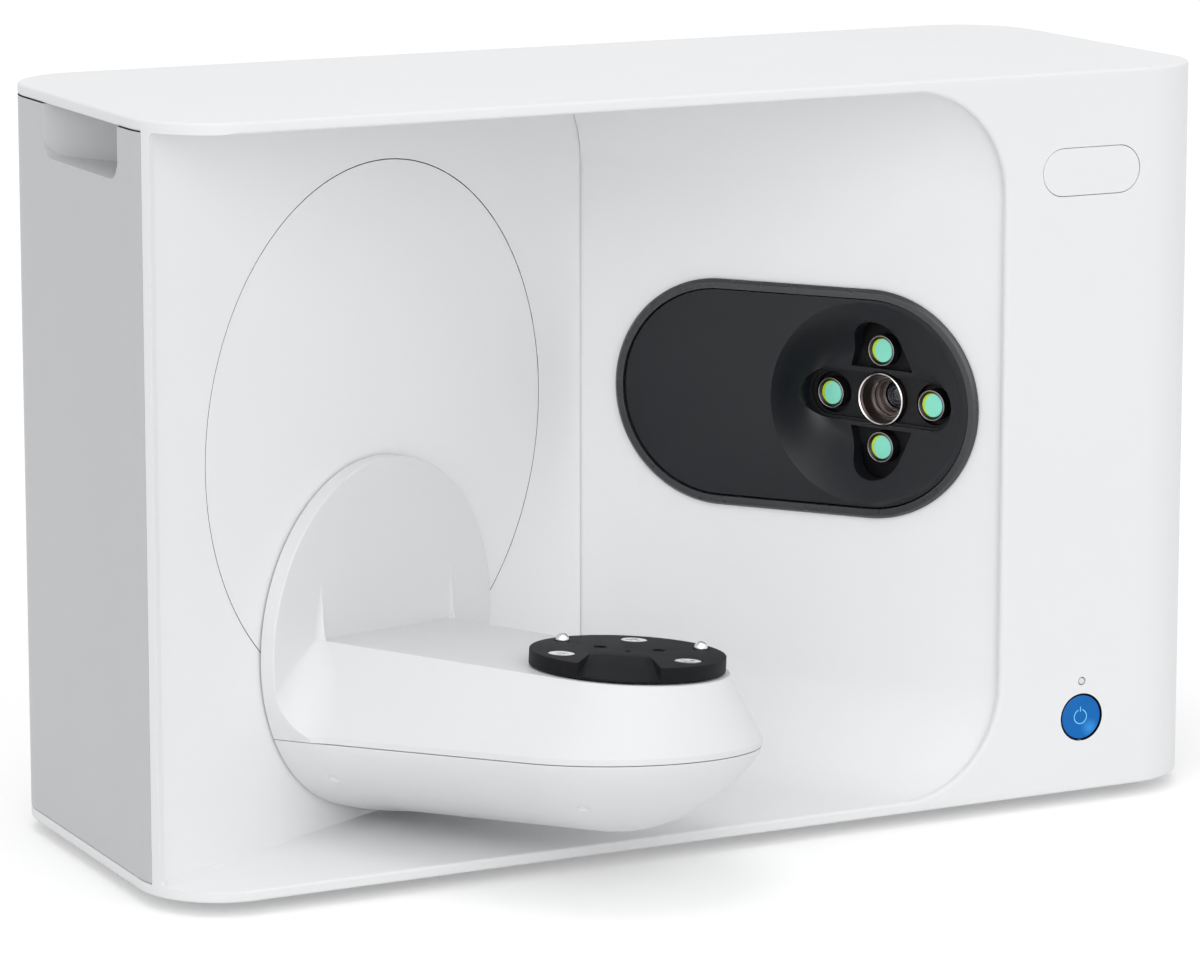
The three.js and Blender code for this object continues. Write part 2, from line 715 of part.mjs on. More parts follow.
function swingPulley() {
  const front = pulleyFront();
  const back = front + PULLEY_WIDTH;
  const rim = pole(BIG_PULLEY_RADIUS, front, back, WHEEL_FACETS)
    .subtract(pole(BIG_PULLEY_RADIUS - PULLEY_RIM, front - OVERRUN, back + OVERRUN, WHEEL_FACETS));
  const half = PULLEY_SPOKE_WIDTH / 2;
  const inner = BIG_PULLEY_RADIUS - PULLEY_RIM / 2;
  const spokes = [];
  for (let i = 0; i < PULLEY_SPOKES; i += 1) {
    spokes.push(spun(box(0, inner, front, back, -half, half), 0, FULL_TURN * i / PULLEY_SPOKES, 0));
  }
  return union([rim, pole(PULLEY_HUB_RADIUS, front, back), ...spokes])
    .subtract(pole(SHAFT_RADIUS + FIT, front - OVERRUN, back + OVERRUN));
}

function beltShape(grow) {
  const big = BIG_PULLEY_RADIUS + FIT + grow;
  const small = SMALL_PULLEY_RADIUS + FIT + grow;
  const lean = Math.acos((big - small) / PULLEY_SPACING);
  const shape = new THREE.Shape();
  shape.absarc(PULLEY_SPACING, 0, small, -lean, lean);
  shape.absarc(0, 0, big, lean, 2 * Math.PI - lean);
  return shape;
}

function driveBelt() {
  const front = pulleyFront() + (PULLEY_WIDTH - BELT_WIDTH) / 2;
  const back = front + BELT_WIDTH;
  const outside = facing(beltShape(BELT_THICKNESS), front, back, BELT_STEPS);
  const inside = facing(beltShape(0), front - OVERRUN, back + OVERRUN, BELT_STEPS);
  return spun(outside.subtract(inside), 0, -DRIVE_TURN_DEG, 0);
}

function motorSpot() {
  const turn = THREE.MathUtils.degToRad(DRIVE_TURN_DEG);
  return [PULLEY_SPACING * Math.cos(turn), 0, PULLEY_SPACING * Math.sin(turn)];
}

function chassisBack() {
  return pulleyFront() + PULLEY_WIDTH + CHASSIS_GAP + CHASSIS_THICKNESS;
}

function driveChassis() {
  const back = chassisBack();
  const front = back - CHASSIS_THICKNESS;
  const low = FLOOR + FIT - FOOT_HEIGHT - SWING_HEIGHT;
  const half = CHASSIS_HALF_WIDTH;
  const upstand = box(-half, half, front, back, low, CHASSIS_RISE);
  const sole = box(-half, half, front, back + CHASSIS_FOOT, low, low + CHASSIS_THICKNESS);
  return upstand.add(sole)
    .subtract(pole(SHAFT_RADIUS + EDGE, front - OVERRUN, back + OVERRUN))
    .subtract(moved(pole(MOTOR_BOSS_RADIUS + FIT, front - OVERRUN, back + OVERRUN), ...motorSpot()));
}

function bearingHousing() {
  const front = chassisBack() + FIT;
  const bore = SHAFT_RADIUS + RUNNING_GAP;
  const step = front + BEARING_FLANGE_THICKNESS;
  const end = front + BEARING_HOUSING_LENGTH;
  return turned([[bore, front], [BEARING_FLANGE_RADIUS, front], [BEARING_FLANGE_RADIUS, step],
    [BEARING_HOUSING_RADIUS, step], [BEARING_HOUSING_RADIUS, end], [bore, end], [bore, front]]);
}

function swingMotor() {
  const front = chassisBack() + FIT;
  const body = facing(roundedRectangle(SWING_MOTOR_SIDE, SWING_MOTOR_SIDE, MOTOR_CORNER), front,
    front + SWING_MOTOR_LENGTH, CORNER_STEPS);
  const boss = pole(MOTOR_BOSS_RADIUS, front - MOTOR_BOSS_HEIGHT, front + MOTOR_BOSS_HEIGHT);
  const end = front + MOTOR_SHAFT_GRIP;
  const bore = pole(MOTOR_SHAFT_RADIUS + RUNNING_GAP, front - OVERRUN, end, BORE_FACETS);
  return moved(body.add(boss).subtract(bore), ...motorSpot());
}

function motorPulley() {
  const front = pulleyFront();
  const back = front + PULLEY_WIDTH;
  const tip = chassisBack() + FIT + MOTOR_SHAFT_GRIP - EDGE;
  const pulley = turned([[0, front], [SMALL_PULLEY_RADIUS, front], [SMALL_PULLEY_RADIUS, back],
    [MOTOR_SHAFT_RADIUS, back], [MOTOR_SHAFT_RADIUS, tip], [0, tip]]);
  return moved(pulley, ...motorSpot());
}

// Swing arm: X across, -Y is the reach into the chamber, Z measured from the swing axis

function splitDrop(reach) {
  return SPLIT_DROP - SPLIT_SLOPE_SHARE * reach;
}

function lipHalf(reach) {
  const share = (reach - FLANGE_FRONT) / (LIP_NOSE_REACH - FLANGE_FRONT);
  return THREE.MathUtils.lerp(LIP_HALF, LIP_NOSE_RADIUS, share);
}

function topHalf(reach) {
  const share = (reach - FLANGE_FRONT) / (TURNTABLE_REACH - FLANGE_FRONT);
  return THREE.MathUtils.lerp(ARM_TOP_HALF, ARM_TOP_NOSE_RADIUS, share);
}

function sideHalf(reach, level) {
  return THREE.MathUtils.lerp(topHalf(reach), lipHalf(reach), level);
}

function armOutline(level, inset) {
  const spread = 1 - (1 - level) ** FILLET_SPREAD_SHARE;
  const fillet = THREE.MathUtils.lerp(FILLET_TOP_RADIUS, FILLET_LIP_RADIUS, spread) + inset;
  const face = FLANGE_FRONT - inset;
  const points = [[sideHalf(face, level) - inset + fillet, face - EDGE]];
  for (let step = 0; step <= FILLET_STEPS; step += 1) {
    const turn = Math.PI / 2 * step / FILLET_STEPS;
    const reach = face + fillet * (1 - Math.cos(turn));
    points.push([sideHalf(reach, level) - inset + fillet * (1 - Math.sin(turn)), reach]);
  }
  const centre = THREE.MathUtils.lerp(TURNTABLE_REACH, LIP_NOSE_REACH, level);
  for (let step = 1; step < SIDE_STEPS; step += 1) {
    const reach = THREE.MathUtils.lerp(face + fillet, centre, step / SIDE_STEPS);
    points.push([sideHalf(reach, level) - inset, reach]);
  }
  const radius = THREE.MathUtils.lerp(ARM_TOP_NOSE_RADIUS, LIP_NOSE_RADIUS, level) - inset;
  for (let step = 0; step <= NOSE_STEPS / 2; step += 1) {
    const turn = Math.PI * step / NOSE_STEPS;
    points.push([step === NOSE_STEPS / 2 ? 0 : radius * Math.cos(turn), centre + radius * Math.sin(turn)]);
  }
  return points;
}

function armRing(level, inset, height) {
  const outline = armOutline(level, inset);
  const right = outline.map(([half, reach]) => new THREE.Vector3(half, -reach, height(reach)));
  const left = right.slice(0, -1).reverse().map(point => new THREE.Vector3(-point.x, point.y, point.z));
  return [...right, ...left];
}

function armTopForm(inset, end) {
  const rings = [];
  for (let step = 0; step <= LEVEL_STEPS; step += 1) {
    const level = step / LEVEL_STEPS;
    const top = -ARM_TOP_DROP - inset;
    const height = reach => THREE.MathUtils.lerp(top, LIP_HEIGHT - splitDrop(reach), level);
    rings.push(armRing(level, inset, height));
  }
  rings.push(armRing(1, inset, reach => -splitDrop(reach) - end));
  const round = pole(FLANGE_RADIUS - FIT - inset, -REACH_ALL, 0, DISC_FACETS);
  return loft(rings).intersect(moved(round, 0, 0, -FLANGE_DROP));
}

function belowSplit(drop) {
  const tilt = THREE.MathUtils.radToDeg(-Math.atan(SPLIT_SLOPE_SHARE));
  const half = box(-REACH_ALL, REACH_ALL, -REACH_ALL, REACH_ALL, -REACH_ALL, 0);
  return moved(spun(half, tilt, 0, 0), 0, 0, -SPLIT_DROP - drop);
}

function armFlange() {
  const flange = turned([[0, -FLANGE_FRONT], [FLANGE_RADIUS - EDGE, -FLANGE_FRONT],
    [FLANGE_RADIUS, -FLANGE_FRONT + EDGE], [FLANGE_RADIUS, -FLANGE_GAP], [0, -FLANGE_GAP]], WHEEL_FACETS);
  return moved(flange, 0, 0, -FLANGE_DROP);
}

function armUpperShell() {
  const hubHole = spun(pole(HUB_HOLE_RADIUS, 0, REACH_ALL), QUARTER_TURN, 0, 0);
  const pad = moved(pole(PAD_RADIUS, -FLANGE_GAP, -FIT, PLATE_FACETS), 0, 0, -PAD_DROP);
  return armTopForm(0, 0)
    .subtract(armTopForm(ARM_WALL, OVERRUN))
    .add(armFlange())
    .subtract(belowSplit(0))
    .add(pad)
    .subtract(moved(hubHole, 0, -TURNTABLE_REACH, -ARM_TOP_DROP - HUB_HEIGHT));
}

function bellySection(reach, inset) {
  const beyond = Math.max(reach - LIP_NOSE_REACH, 0);
  const radius = LIP_NOSE_RADIUS - inset;
  const narrowing = Math.sqrt(Math.max(1 - (beyond / radius) ** 2, 0));
  const share = Math.min(reach / LIP_NOSE_REACH, 1);
  return {
    half: beyond > 0 ? radius * narrowing : lipHalf(reach) - inset,
    depth: (BELLY_DEPTH - inset) * narrowing ** BELLY_NOSE_SHARE,
    power: THREE.MathUtils.lerp(BELLY_POWER_SHARE, BELLY_NOSE_POWER_SHARE, share),
  };
}

function bellyRing(reach, inset) {
  const { half, depth, power } = bellySection(reach, inset);
  const points = [];
  for (let step = 0; step <= BELLY_STEPS; step += 1) {
    const angle = Math.PI * step / BELLY_STEPS;
    const across = Math.sign(Math.cos(angle)) * Math.abs(Math.cos(angle)) ** (2 / power);
    const down = Math.sin(angle) ** (2 / power);
    points.push(new THREE.Vector3(half * across, -reach, -splitDrop(reach) - FIT - depth * down));
  }
  return points;
}

function belly(inset, start) {
  const rings = [];
  for (let step = 0; step < BELLY_SIDE_STEPS; step += 1) {
    rings.push(bellyRing(THREE.MathUtils.lerp(start, LIP_NOSE_REACH, step / BELLY_SIDE_STEPS), inset));
  }
  for (let step = 0; step <= NOSE_STEPS / 2; step += 1) {
    const turn = Math.PI * step / NOSE_STEPS;
    rings.push(bellyRing(LIP_NOSE_REACH + (LIP_NOSE_RADIUS - inset) * Math.sin(turn), inset));
  }
  return loft(rings);
}

function screwSpots() {
  return [[SCREW_NEAR_SIDE, SCREW_NEAR_REACH], [SCREW_FAR_SIDE, SCREW_FAR_REACH]];
}

function screwPosts() {
  const post = spun(pole(SCREW_POST_RADIUS, 0, REACH_ALL, POST_FACETS), -QUARTER_TURN, 0, 0);
  const posts = [];
  for (const [side, reach] of screwSpots()) {
    const level = -splitDrop(reach) - FIT;
    posts.push(moved(post, side, -reach, level), moved(post, -side, -reach, level));
  }
  return union(posts);
}

function dimples() {
  const dimple = spun(pole(DIMPLE_RADIUS, -OVERRUN, DIMPLE_DEPTH, DIMPLE_FACETS), QUARTER_TURN, 0, 0);
  const made = [];
  for (const [side, reach] of screwSpots()) {
    const { half, depth, power } = bellySection(reach, 0);
    const across = side / half;
    const down = (1 - across ** power) ** (1 / power);
    const lean = Math.atan2(across ** (power - 1) / half, down ** (power - 1) / depth);
    const leanDeg = THREE.MathUtils.radToDeg(lean);
    const level = -splitDrop(reach) - FIT - depth * down;
    made.push(moved(spun(dimple, 0, -leanDeg, 0), side, -reach, level));
    made.push(moved(spun(dimple, 0, leanDeg, 0), -side, -reach, level));
  }
  return union(made);
}

function armLowerShell() {
  const outside = belly(0, FLANGE_FRONT - EDGE);
  return outside
    .subtract(moved(belly(ARM_WALL, FLANGE_FRONT), 0, 0, FIT))
    .add(armFlange())
    .intersect(belowSplit(FIT))
    .add(screwPosts().intersect(outside))
    .subtract(dimples());
}

function armFrame() {
  const half = FRAME_HALF_WIDTH;
  const back = -FLANGE_FRONT - FIT;
  const top = -FRAME_DROP;
  const low = top - FRAME_PLATE;
  const plate = box(-half, half, -TURNTABLE_REACH - FRAME_BEYOND, back, low, top);
  const tab = box(-half, half, back - FRAME_PLATE, back, low, top + FRAME_TAB_RISE);
  const hole = spun(pole(MOTOR_BOSS_RADIUS + FIT, -OVERRUN, OVERRUN), QUARTER_TURN, 0, 0);
  return plate.add(tab).subtract(moved(hole, 0, -TURNTABLE_REACH, top));
}

function turntableBearing() {
  const bore = SPINDLE_RADIUS + RUNNING_GAP;
  const ring = turned([[bore, 0], [BEARING_RADIUS, 0], [BEARING_RADIUS, BEARING_HEIGHT],
    [bore, BEARING_HEIGHT], [bore, 0]]);
  return moved(spun(ring, QUARTER_TURN, 0, 0), 0, -TURNTABLE_REACH, -FRAME_DROP + FIT);
}

function turntableMotor() {
  const top = -FRAME_DROP - FRAME_PLATE - FIT;
  const shape = roundedRectangle(TABLE_MOTOR_SIDE, TABLE_MOTOR_SIDE, MOTOR_CORNER);
  const body = upright(shape, top - TABLE_MOTOR_LENGTH, top, CORNER_STEPS);
  const boss = spun(pole(MOTOR_BOSS_RADIUS, -MOTOR_BOSS_HEIGHT, MOTOR_BOSS_HEIGHT), QUARTER_TURN, 0, 0);
  const bore = pole(SPINDLE_TIP_RADIUS + RUNNING_GAP, -OVERRUN, MOTOR_BORE_DEPTH, BORE_FACETS);
  const motor = body.add(moved(boss, 0, 0, top)).subtract(moved(spun(bore, -QUARTER_TURN, 0, 0), 0, 0, top));
  return moved(motor, 0, -TURNTABLE_REACH, 0);
}

// Turntable

function onTable(piece, ring, degrees) {
  const angle = THREE.MathUtils.degToRad(degrees);
  return moved(piece, ring * Math.cos(angle), ring * Math.sin(angle) - TURNTABLE_REACH, -PLATE_TOP_DROP);
}

function notchShape() {
  return polygon([[NOTCH_INNER, -NOTCH_INNER_LEFT], [TURNTABLE_RADIUS, -NOTCH_OUTER_HALF],
    [REACH_ALL, -NOTCH_OUTER_HALF], [REACH_ALL, NOTCH_OUTER_HALF], [TURNTABLE_RADIUS, NOTCH_OUTER_HALF],
    [NOTCH_INNER, NOTCH_INNER_RIGHT]]);
}

function notchRamp() {
  const far = 2 * TURNTABLE_RADIUS - NOTCH_INNER;
  const side = polygon([[NOTCH_INNER, 0], [far, -2 * NOTCH_DEEP], [far, OVERRUN], [NOTCH_INNER, OVERRUN]]);
  return facing(side, -TURNTABLE_RADIUS, TURNTABLE_RADIUS);
}

function turntablePlate() {
  const rim = TURNTABLE_RADIUS - TURNTABLE_EDGE;
  const profile = [[0, -TURNTABLE_THICKNESS], [TURNTABLE_RADIUS, -TURNTABLE_THICKNESS],
    [TURNTABLE_RADIUS, -TURNTABLE_EDGE], [rim, 0], [0, 0]];
  const plate = onTable(spun(turned(profile, WHEEL_FACETS), QUARTER_TURN, 0, 0), 0, 0);
  const notch = spun(upright(notchShape(), -OVERRUN, OVERRUN).intersect(notchRamp()), 0, 0, NOTCH_DEG);
  const magnetSeat = pole(MAGNET_RADIUS + FIT, -OVERRUN, MAGNET_THICKNESS + FIT, SOCKET_FACETS);
  const socket = spun(magnetSeat, -QUARTER_TURN, 0, 0);
  const cup = moved(ball(BALL_RADIUS + FIT), 0, 0, BALL_RISE);
  const screwHole = pole(SCREW_HOLE_RADIUS, -OVERRUN, SCREW_HOLE_DEPTH, BORE_FACETS);
  const screw = spun(screwHole, -QUARTER_TURN, 0, 0);
  const centreHole = pole(CENTRE_HOLE_RADIUS, -OVERRUN, SCREW_HOLE_DEPTH, STUD_FACETS);
  const centre = spun(centreHole, -QUARTER_TURN, 0, 0);
  const cuts = [onTable(notch, 0, 0), onTable(centre, 0, 0)];
  MAGNET_DEGS.forEach(degrees => cuts.push(onTable(socket, MAGNET_RING, degrees)));
  BALL_DEGS.forEach(degrees => cuts.push(onTable(cup, BALL_RING, degrees)));
  BALL_DEGS.forEach(degrees => cuts.push(onTable(screw, SCREW_RING, degrees)));
  return plate.subtract(union(cuts));
}

function ball(radius) {
  const points = [];
  for (let step = 0; step <= BALL_STEPS; step += 1) {
    const angle = Math.PI * step / BALL_STEPS;
    const across = step === 0 || step === BALL_STEPS ? 0 : radius * Math.sin(angle);
    points.push([across, -radius * Math.cos(angle)]);
  }
  return spun(turned(points, POST_FACETS), QUARTER_TURN, 0, 0);
}

function locatingBall() {
  return moved(ball(BALL_RADIUS), 0, 0, BALL_RISE);
}

function magnet() {
  return spun(pole(MAGNET_RADIUS, 0, MAGNET_THICKNESS, SOCKET_FACETS), -QUARTER_TURN, 0, 0);
}

function turntableShaft() {
  const top = PLATE_TOP_DROP + TURNTABLE_THICKNESS + FIT;
  const hub = top + HUB_HEIGHT;
  const spindle = FRAME_DROP - EDGE;
  const tip = spindle + SPINDLE_TIP_LENGTH;
  const shaft = turned([[0, top], [HUB_RADIUS, top], [HUB_RADIUS, hub], [SPINDLE_RADIUS, hub],
    [SPINDLE_RADIUS, spindle], [SPINDLE_TIP_RADIUS, spindle], [SPINDLE_TIP_RADIUS, tip], [0, tip]]);
  return moved(spun(shaft, -QUARTER_TURN, 0, 0), 0, -TURNTABLE_REACH, 0);
}

// Scan head: X along the wall, +Y into the machine, about the middle of its oval

function ovalRing(halfSpan, radius, y) {
  const outline = stadium(halfSpan, radius).getPoints(OVAL_STEPS);
  return outline.map(point => new THREE.Vector3(point.x, y, point.y));
}

function scanHeadBezel() {
  const outer = BEZEL_RADIUS - BEZEL_BEVEL;
  const bevel = loft([ovalRing(HEAD_HALF_SPAN, outer, -BEZEL_PROUD),
    ovalRing(HEAD_HALF_SPAN, BEZEL_RADIUS, -BEZEL_PROUD + BEZEL_BEVEL),
    ovalRing(HEAD_HALF_SPAN, BEZEL_RADIUS, -FIT)]);
  const sleeve = facing(stadium(HEAD_HALF_SPAN, BEZEL_INNER_RADIUS + SLEEVE_WALL), -FIT - EDGE,
    SLEEVE_DEPTH, OVAL_STEPS);
  const bore = facing(stadium(HEAD_HALF_SPAN, BEZEL_INNER_RADIUS), -OVERRUN, OVERRUN, OVAL_STEPS);
  return bevel.add(sleeve).subtract(bore);
}

function circleRing(radius, y, inOptics) {
  const points = [];
  for (let step = 0; step < DISH_SEGMENTS; step += 1) {
    const angle = 2 * Math.PI * step / DISH_SEGMENTS;
    const point = new THREE.Vector3(radius * Math.cos(angle), y, radius * Math.sin(angle));
    if (inOptics) {
      point.applyAxisAngle(new THREE.Vector3(0, 0, 1), THREE.MathUtils.degToRad(OPTICS_TURN_DEG));
      point.add(new THREE.Vector3(OPTICS_OFFSET, OPTICS_DEPTH, 0));
    } else {
      point.x += DISH_OFFSET;
    }
    points.push(point);
  }
  return points;
}

function dishForm(wall) {
  return loft([
    circleRing(DISH_RADIUS + wall, wall > 0 ? -FACE_PROUD : -FACE_PROUD - OVERRUN, false),
    circleRing(DISH_RADIUS + wall, -FACE_PROUD + wall, false),
    circleRing(DISH_CURVE_RADIUS + wall, -DISH_CURVE_RISE + wall, true),
    circleRing(DISH_FLOOR_RADIUS + wall, wall, true),
  ]);
}

function headPocket(back) {
  const lower = new THREE.Shape();
  const reach = POCKET_END_RISE;
  const lean = Math.asin(POCKET_LEAN_SHARE);
  lower.moveTo(-POCKET_BASE_HALF, POCKET_BASE_RISE);
  lower.lineTo(POCKET_BASE_HALF, POCKET_BASE_RISE);
  lower.absarc(0, reach, POCKET_END_RADIUS, lean, Math.PI - lean);
  return facing(lower, -OVERRUN, back);
}

function scanHeadFace() {
  const radius = BEZEL_INNER_RADIUS - FACE_GAP;
  const oval = stadium(HEAD_HALF_SPAN, radius);
  const plate = facing(oval, -FACE_PROUD, -FACE_PROUD + FACE_THICKNESS, OVAL_STEPS);
  const limit = facing(oval, -FACE_PROUD, REACH_ALL, OVAL_STEPS);
  const tray = facing(stadium(TRAY_HALF_SPAN, TRAY_RADIUS), -OVERRUN, TRAY_DEPTH, SMALL_OVAL_STEPS);
  const deep = headPocket(POCKET_SINK);
  const cameraHole = pole(CAMERA_HOLE_RADIUS, -OVERRUN, OVERRUN, SOCKET_FACETS);
  const closeHole = pole(CAMERA_RADIUS + FACE_GAP, -OVERRUN, OVERRUN, SOCKET_FACETS);
  const projectorHole = pole(PROJECTOR_RADIUS + FACE_GAP, -OVERRUN, OVERRUN, BARREL_FACETS);
  const cuts = union([tray, deep, spun(deep, 0, 2 * QUARTER_TURN, 0), projectorHole,
    moved(cameraHole, CAMERA_SIDE, 0, 0), moved(cameraHole, -CAMERA_SIDE, 0, 0),
    moved(closeHole, 0, 0, CAMERA_RISE), moved(closeHole, 0, 0, -CAMERA_RISE)]);
  return plate.add(dishForm(DISH_WALL).intersect(limit))
    .subtract(dishForm(0))
    .subtract(fromOptics(cuts));
}

function cameraCarrier() {
  const front = DISH_WALL + FIT;
  const plate = pole(CARRIER_RADIUS, front, front + CARRIER_THICKNESS, PLATE_FACETS);
  const hole = pole(CAMERA_RADIUS + CARRIER_CLEARANCE, -OVERRUN, OVERRUN, SOCKET_FACETS);
  return plate
    .subtract(pole(PROJECTOR_RADIUS + CARRIER_CLEARANCE, -OVERRUN, OVERRUN, BARREL_FACETS))
    .subtract(union([moved(hole, CAMERA_SIDE, 0, 0), moved(hole, -CAMERA_SIDE, 0, 0),
      moved(hole, 0, 0, CAMERA_RISE), moved(hole, 0, 0, -CAMERA_RISE)]));
}

function camera() {
  const barrel = pole(CAMERA_RADIUS, -CAMERA_FRONT, CAMERA_LENGTH, SOCKET_FACETS);
  const seat = pole(FILTER_RADIUS + FIT, -OVERRUN, FILTER_THICKNESS + FIT, SOCKET_FACETS);
  const back = DISH_WALL + CARRIER_THICKNESS + 2 * FIT;
  const half = CAMERA_BOARD / 2;
  const board = box(-half, half, back, back + CAMERA_BOARD_THICKNESS, -half, half);
  return barrel.subtract(seat).add(board);
}

function cameraFilter() {
  return pole(FILTER_RADIUS, 0, FILTER_THICKNESS, SOCKET_FACETS);
}

function projectorBarrel() {
  const barrel = pole(PROJECTOR_RADIUS, 0, PROJECTOR_LENGTH, BARREL_FACETS);
  const bore = turned([[0, -OVERRUN], [PROJECTOR_BORE, -OVERRUN], [PROJECTOR_BORE, 0],
    [PROJECTOR_BORE_END, PROJECTOR_BORE_DEPTH], [0, PROJECTOR_BORE_DEPTH]], BARREL_FACETS);
  return barrel.subtract(bore);
}

function projectorRing() {
  const front = -FIT - RING_THICKNESS;
  const inner = PROJECTOR_RADIUS - RING_WIDTH;
  return turned([[inner, front], [PROJECTOR_RADIUS, front], [PROJECTOR_RADIUS, -FIT], [inner, -FIT],
    [inner, front]], BARREL_FACETS);
}

function projectorLens() {
  const radius = PROJECTOR_BORE_END - FIT;
  const back = PROJECTOR_BORE_DEPTH - FIT;
  const points = [[0, back], [radius, back]];
  for (let step = 0; step <= LENS_STEPS; step += 1) {
    const share = step / LENS_STEPS;
    const bulge = LENS_BULGE * Math.sin(share * Math.PI / 2);
    points.push([step === LENS_STEPS ? 0 : radius * (1 - share), back - LENS_EDGE - bulge]);
  }
  return turned(points, SOCKET_FACETS);
}

function projectorBody() {
  const front = PROJECTOR_LENGTH + FIT;
  const body = roundedRectangle(PROJECTOR_BODY_WIDTH, PROJECTOR_BODY_HEIGHT, MOTOR_CORNER);
  return facing(body, front, front + PROJECTOR_BODY_LENGTH, CORNER_STEPS);
}

// Front controls and insert: Y from the outer face of the fascia

function onFront(piece, x, height) {
  return moved(piece, x, -HALF_DEPTH, FOOT_HEIGHT + height);
}

function powerButton() {
  const front = BUTTON_SINK;
  const collar = SKIN + FIT;
  const step = collar + BUTTON_COLLAR_THICKNESS;
  const wide = BUTTON_RADIUS + BUTTON_COLLAR;
  const points = [[0, front + BUTTON_DISH], [BUTTON_RADIUS / 2, front + BUTTON_DISH - BUTTON_DISH_RISE],
    [BUTTON_RADIUS - EDGE, front], [BUTTON_RADIUS, front + BUTTON_EDGE], [BUTTON_RADIUS, collar],
    [wide, collar], [wide, step], [BUTTON_RADIUS, step],
    [BUTTON_RADIUS, front + BUTTON_LENGTH], [0, front + BUTTON_LENGTH]];
  return onFront(turned(points, BUTTON_FACETS), BUTTON_X, BUTTON_HEIGHT);
}

function buttonHousing() {
  const inner = BUTTON_RADIUS + BUTTON_COLLAR + FIT;
  const front = SKIN + FIT;
  const floor = switchBack() + FIT;
  const cup = pole(inner + HOLDER_WALL, front, floor + HOLDER_WALL, BARREL_FACETS)
    .subtract(pole(inner, 0, floor, BARREL_FACETS));
  return onFront(cup, BUTTON_X, BUTTON_HEIGHT);
}

function switchBack() {
  return BUTTON_SINK + BUTTON_LENGTH + BUTTON_TRAVEL + FIT + SWITCH_PLUNGER + SWITCH_SIDE / 2;
}

function tactSwitch() {
  const half = SWITCH_SIDE / 2;
  const back = switchBack();
  const base = box(-half, half, back - half, back, -half, half);
  const plunger = pole(half / 2, back - half - SWITCH_PLUNGER, back - half + FIT, PIN_FACETS);
  return onFront(base.add(plunger), BUTTON_X, BUTTON_HEIGHT);
}

function statusLightPipe() {
  const collar = SKIN + FIT;
  const wide = LIGHT_RADIUS + LIGHT_FLANGE;
  const pipe = turned([[0, 0], [LIGHT_RADIUS, 0], [LIGHT_RADIUS, collar], [wide, collar],
    [wide, collar + LIGHT_FLANGE], [LIGHT_RADIUS, collar + LIGHT_FLANGE], [LIGHT_RADIUS, LIGHT_LENGTH],
    [0, LIGHT_LENGTH]], BORE_FACETS);
  return onFront(pipe, BUTTON_X, BUTTON_HEIGHT + LIGHT_RISE);
}

function badgeInsert() {
  const back = SKIN + FIT;
  const plug = facing(stadium(BADGE_HALF_SPAN, BADGE_RADIUS), 0, back + EDGE, SMALL_OVAL_STEPS);
  const flange = facing(stadium(BADGE_HALF_SPAN, BADGE_RADIUS + BADGE_FLANGE), back,
    back + BADGE_FLANGE_THICKNESS, SMALL_OVAL_STEPS);
  return onFront(plug.add(flange), BADGE_X, BADGE_HEIGHT);
}

// Rear panel and what sits behind the chamber

function boardSpots() {
  const x = BOARD_WIDTH / 2 - STANDOFF_INSET;
  const low = FOOT_HEIGHT + BOARD_BASE + STANDOFF_INSET;
  const high = FOOT_HEIGHT + BOARD_BASE + BOARD_HEIGHT - STANDOFF_INSET;
  return [[BOARD_X - x, low], [BOARD_X + x, low], [BOARD_X - x, high], [BOARD_X + x, high]];
}

function rearPanel() {
  const inside = HALF_DEPTH - SKIN;
  const half = HALF_WIDTH - REAR_SEAM_INSET - FIT;
  const panel = box(-half, half, inside, HALF_DEPTH, FLOOR + FIT, CEILING - FIT);
  const post = pole(STANDOFF_RADIUS, -STANDOFF, EDGE, STUD_FACETS);
  const posts = boardSpots().map(([x, z]) => moved(post, x, inside, z));
  const slots = [];
  for (let row = 0; row < VENT_ROWS; row += 1) {
    const slot = facing(stadium(VENT_LENGTH / 2, VENT_WIDTH / 2), -OVERRUN, OVERRUN, CORNER_STEPS);
    slots.push(moved(slot, VENT_X, HALF_DEPTH, FOOT_HEIGHT + VENT_HEIGHT + row * VENT_PITCH));
  }
  for (let row = -GRILLE_HALF_COUNT; row <= GRILLE_HALF_COUNT; row += 1) {
    const rise = row * GRILLE_PITCH;
    const span = Math.sqrt(FAN_BORE ** 2 - rise ** 2) - GRILLE_SLOT;
    const slot = facing(stadium(span, GRILLE_SLOT / 2), -OVERRUN, OVERRUN, CORNER_STEPS);
    slots.push(moved(slot, FAN_X, HALF_DEPTH, FOOT_HEIGHT + FAN_HEIGHT + rise));
  }
  const inlet = roundedRectangle(INLET_WIDTH + 2 * FIT, INLET_HEIGHT + 2 * FIT, INLET_CORNER);
  const inletCut = moved(facing(inlet, -OVERRUN, OVERRUN, CORNER_STEPS), INLET_X, HALF_DEPTH, inletLevel());
  const wide = DATA_PORT_WIDTH / 2 + FIT;
  const tall = DATA_PORT_HEIGHT / 2 + FIT;
  const portCut = rectangle(-wide, -tall, wide, tall);
  return union([panel, ...posts])
    .subtract(union([...slots, inletCut, moved(facing(portCut, -OVERRUN, OVERRUN), DATA_PORT_X, HALF_DEPTH,
      portLevel())]));
}

function inletLevel() {
  return FOOT_HEIGHT + INLET_BASE + INLET_HEIGHT / 2;
}

function portLevel() {
  return FOOT_HEIGHT + BOARD_BASE + DATA_PORT_RISE;
}

function boardBack() {
  return HALF_DEPTH - SKIN - STANDOFF - FIT;
}

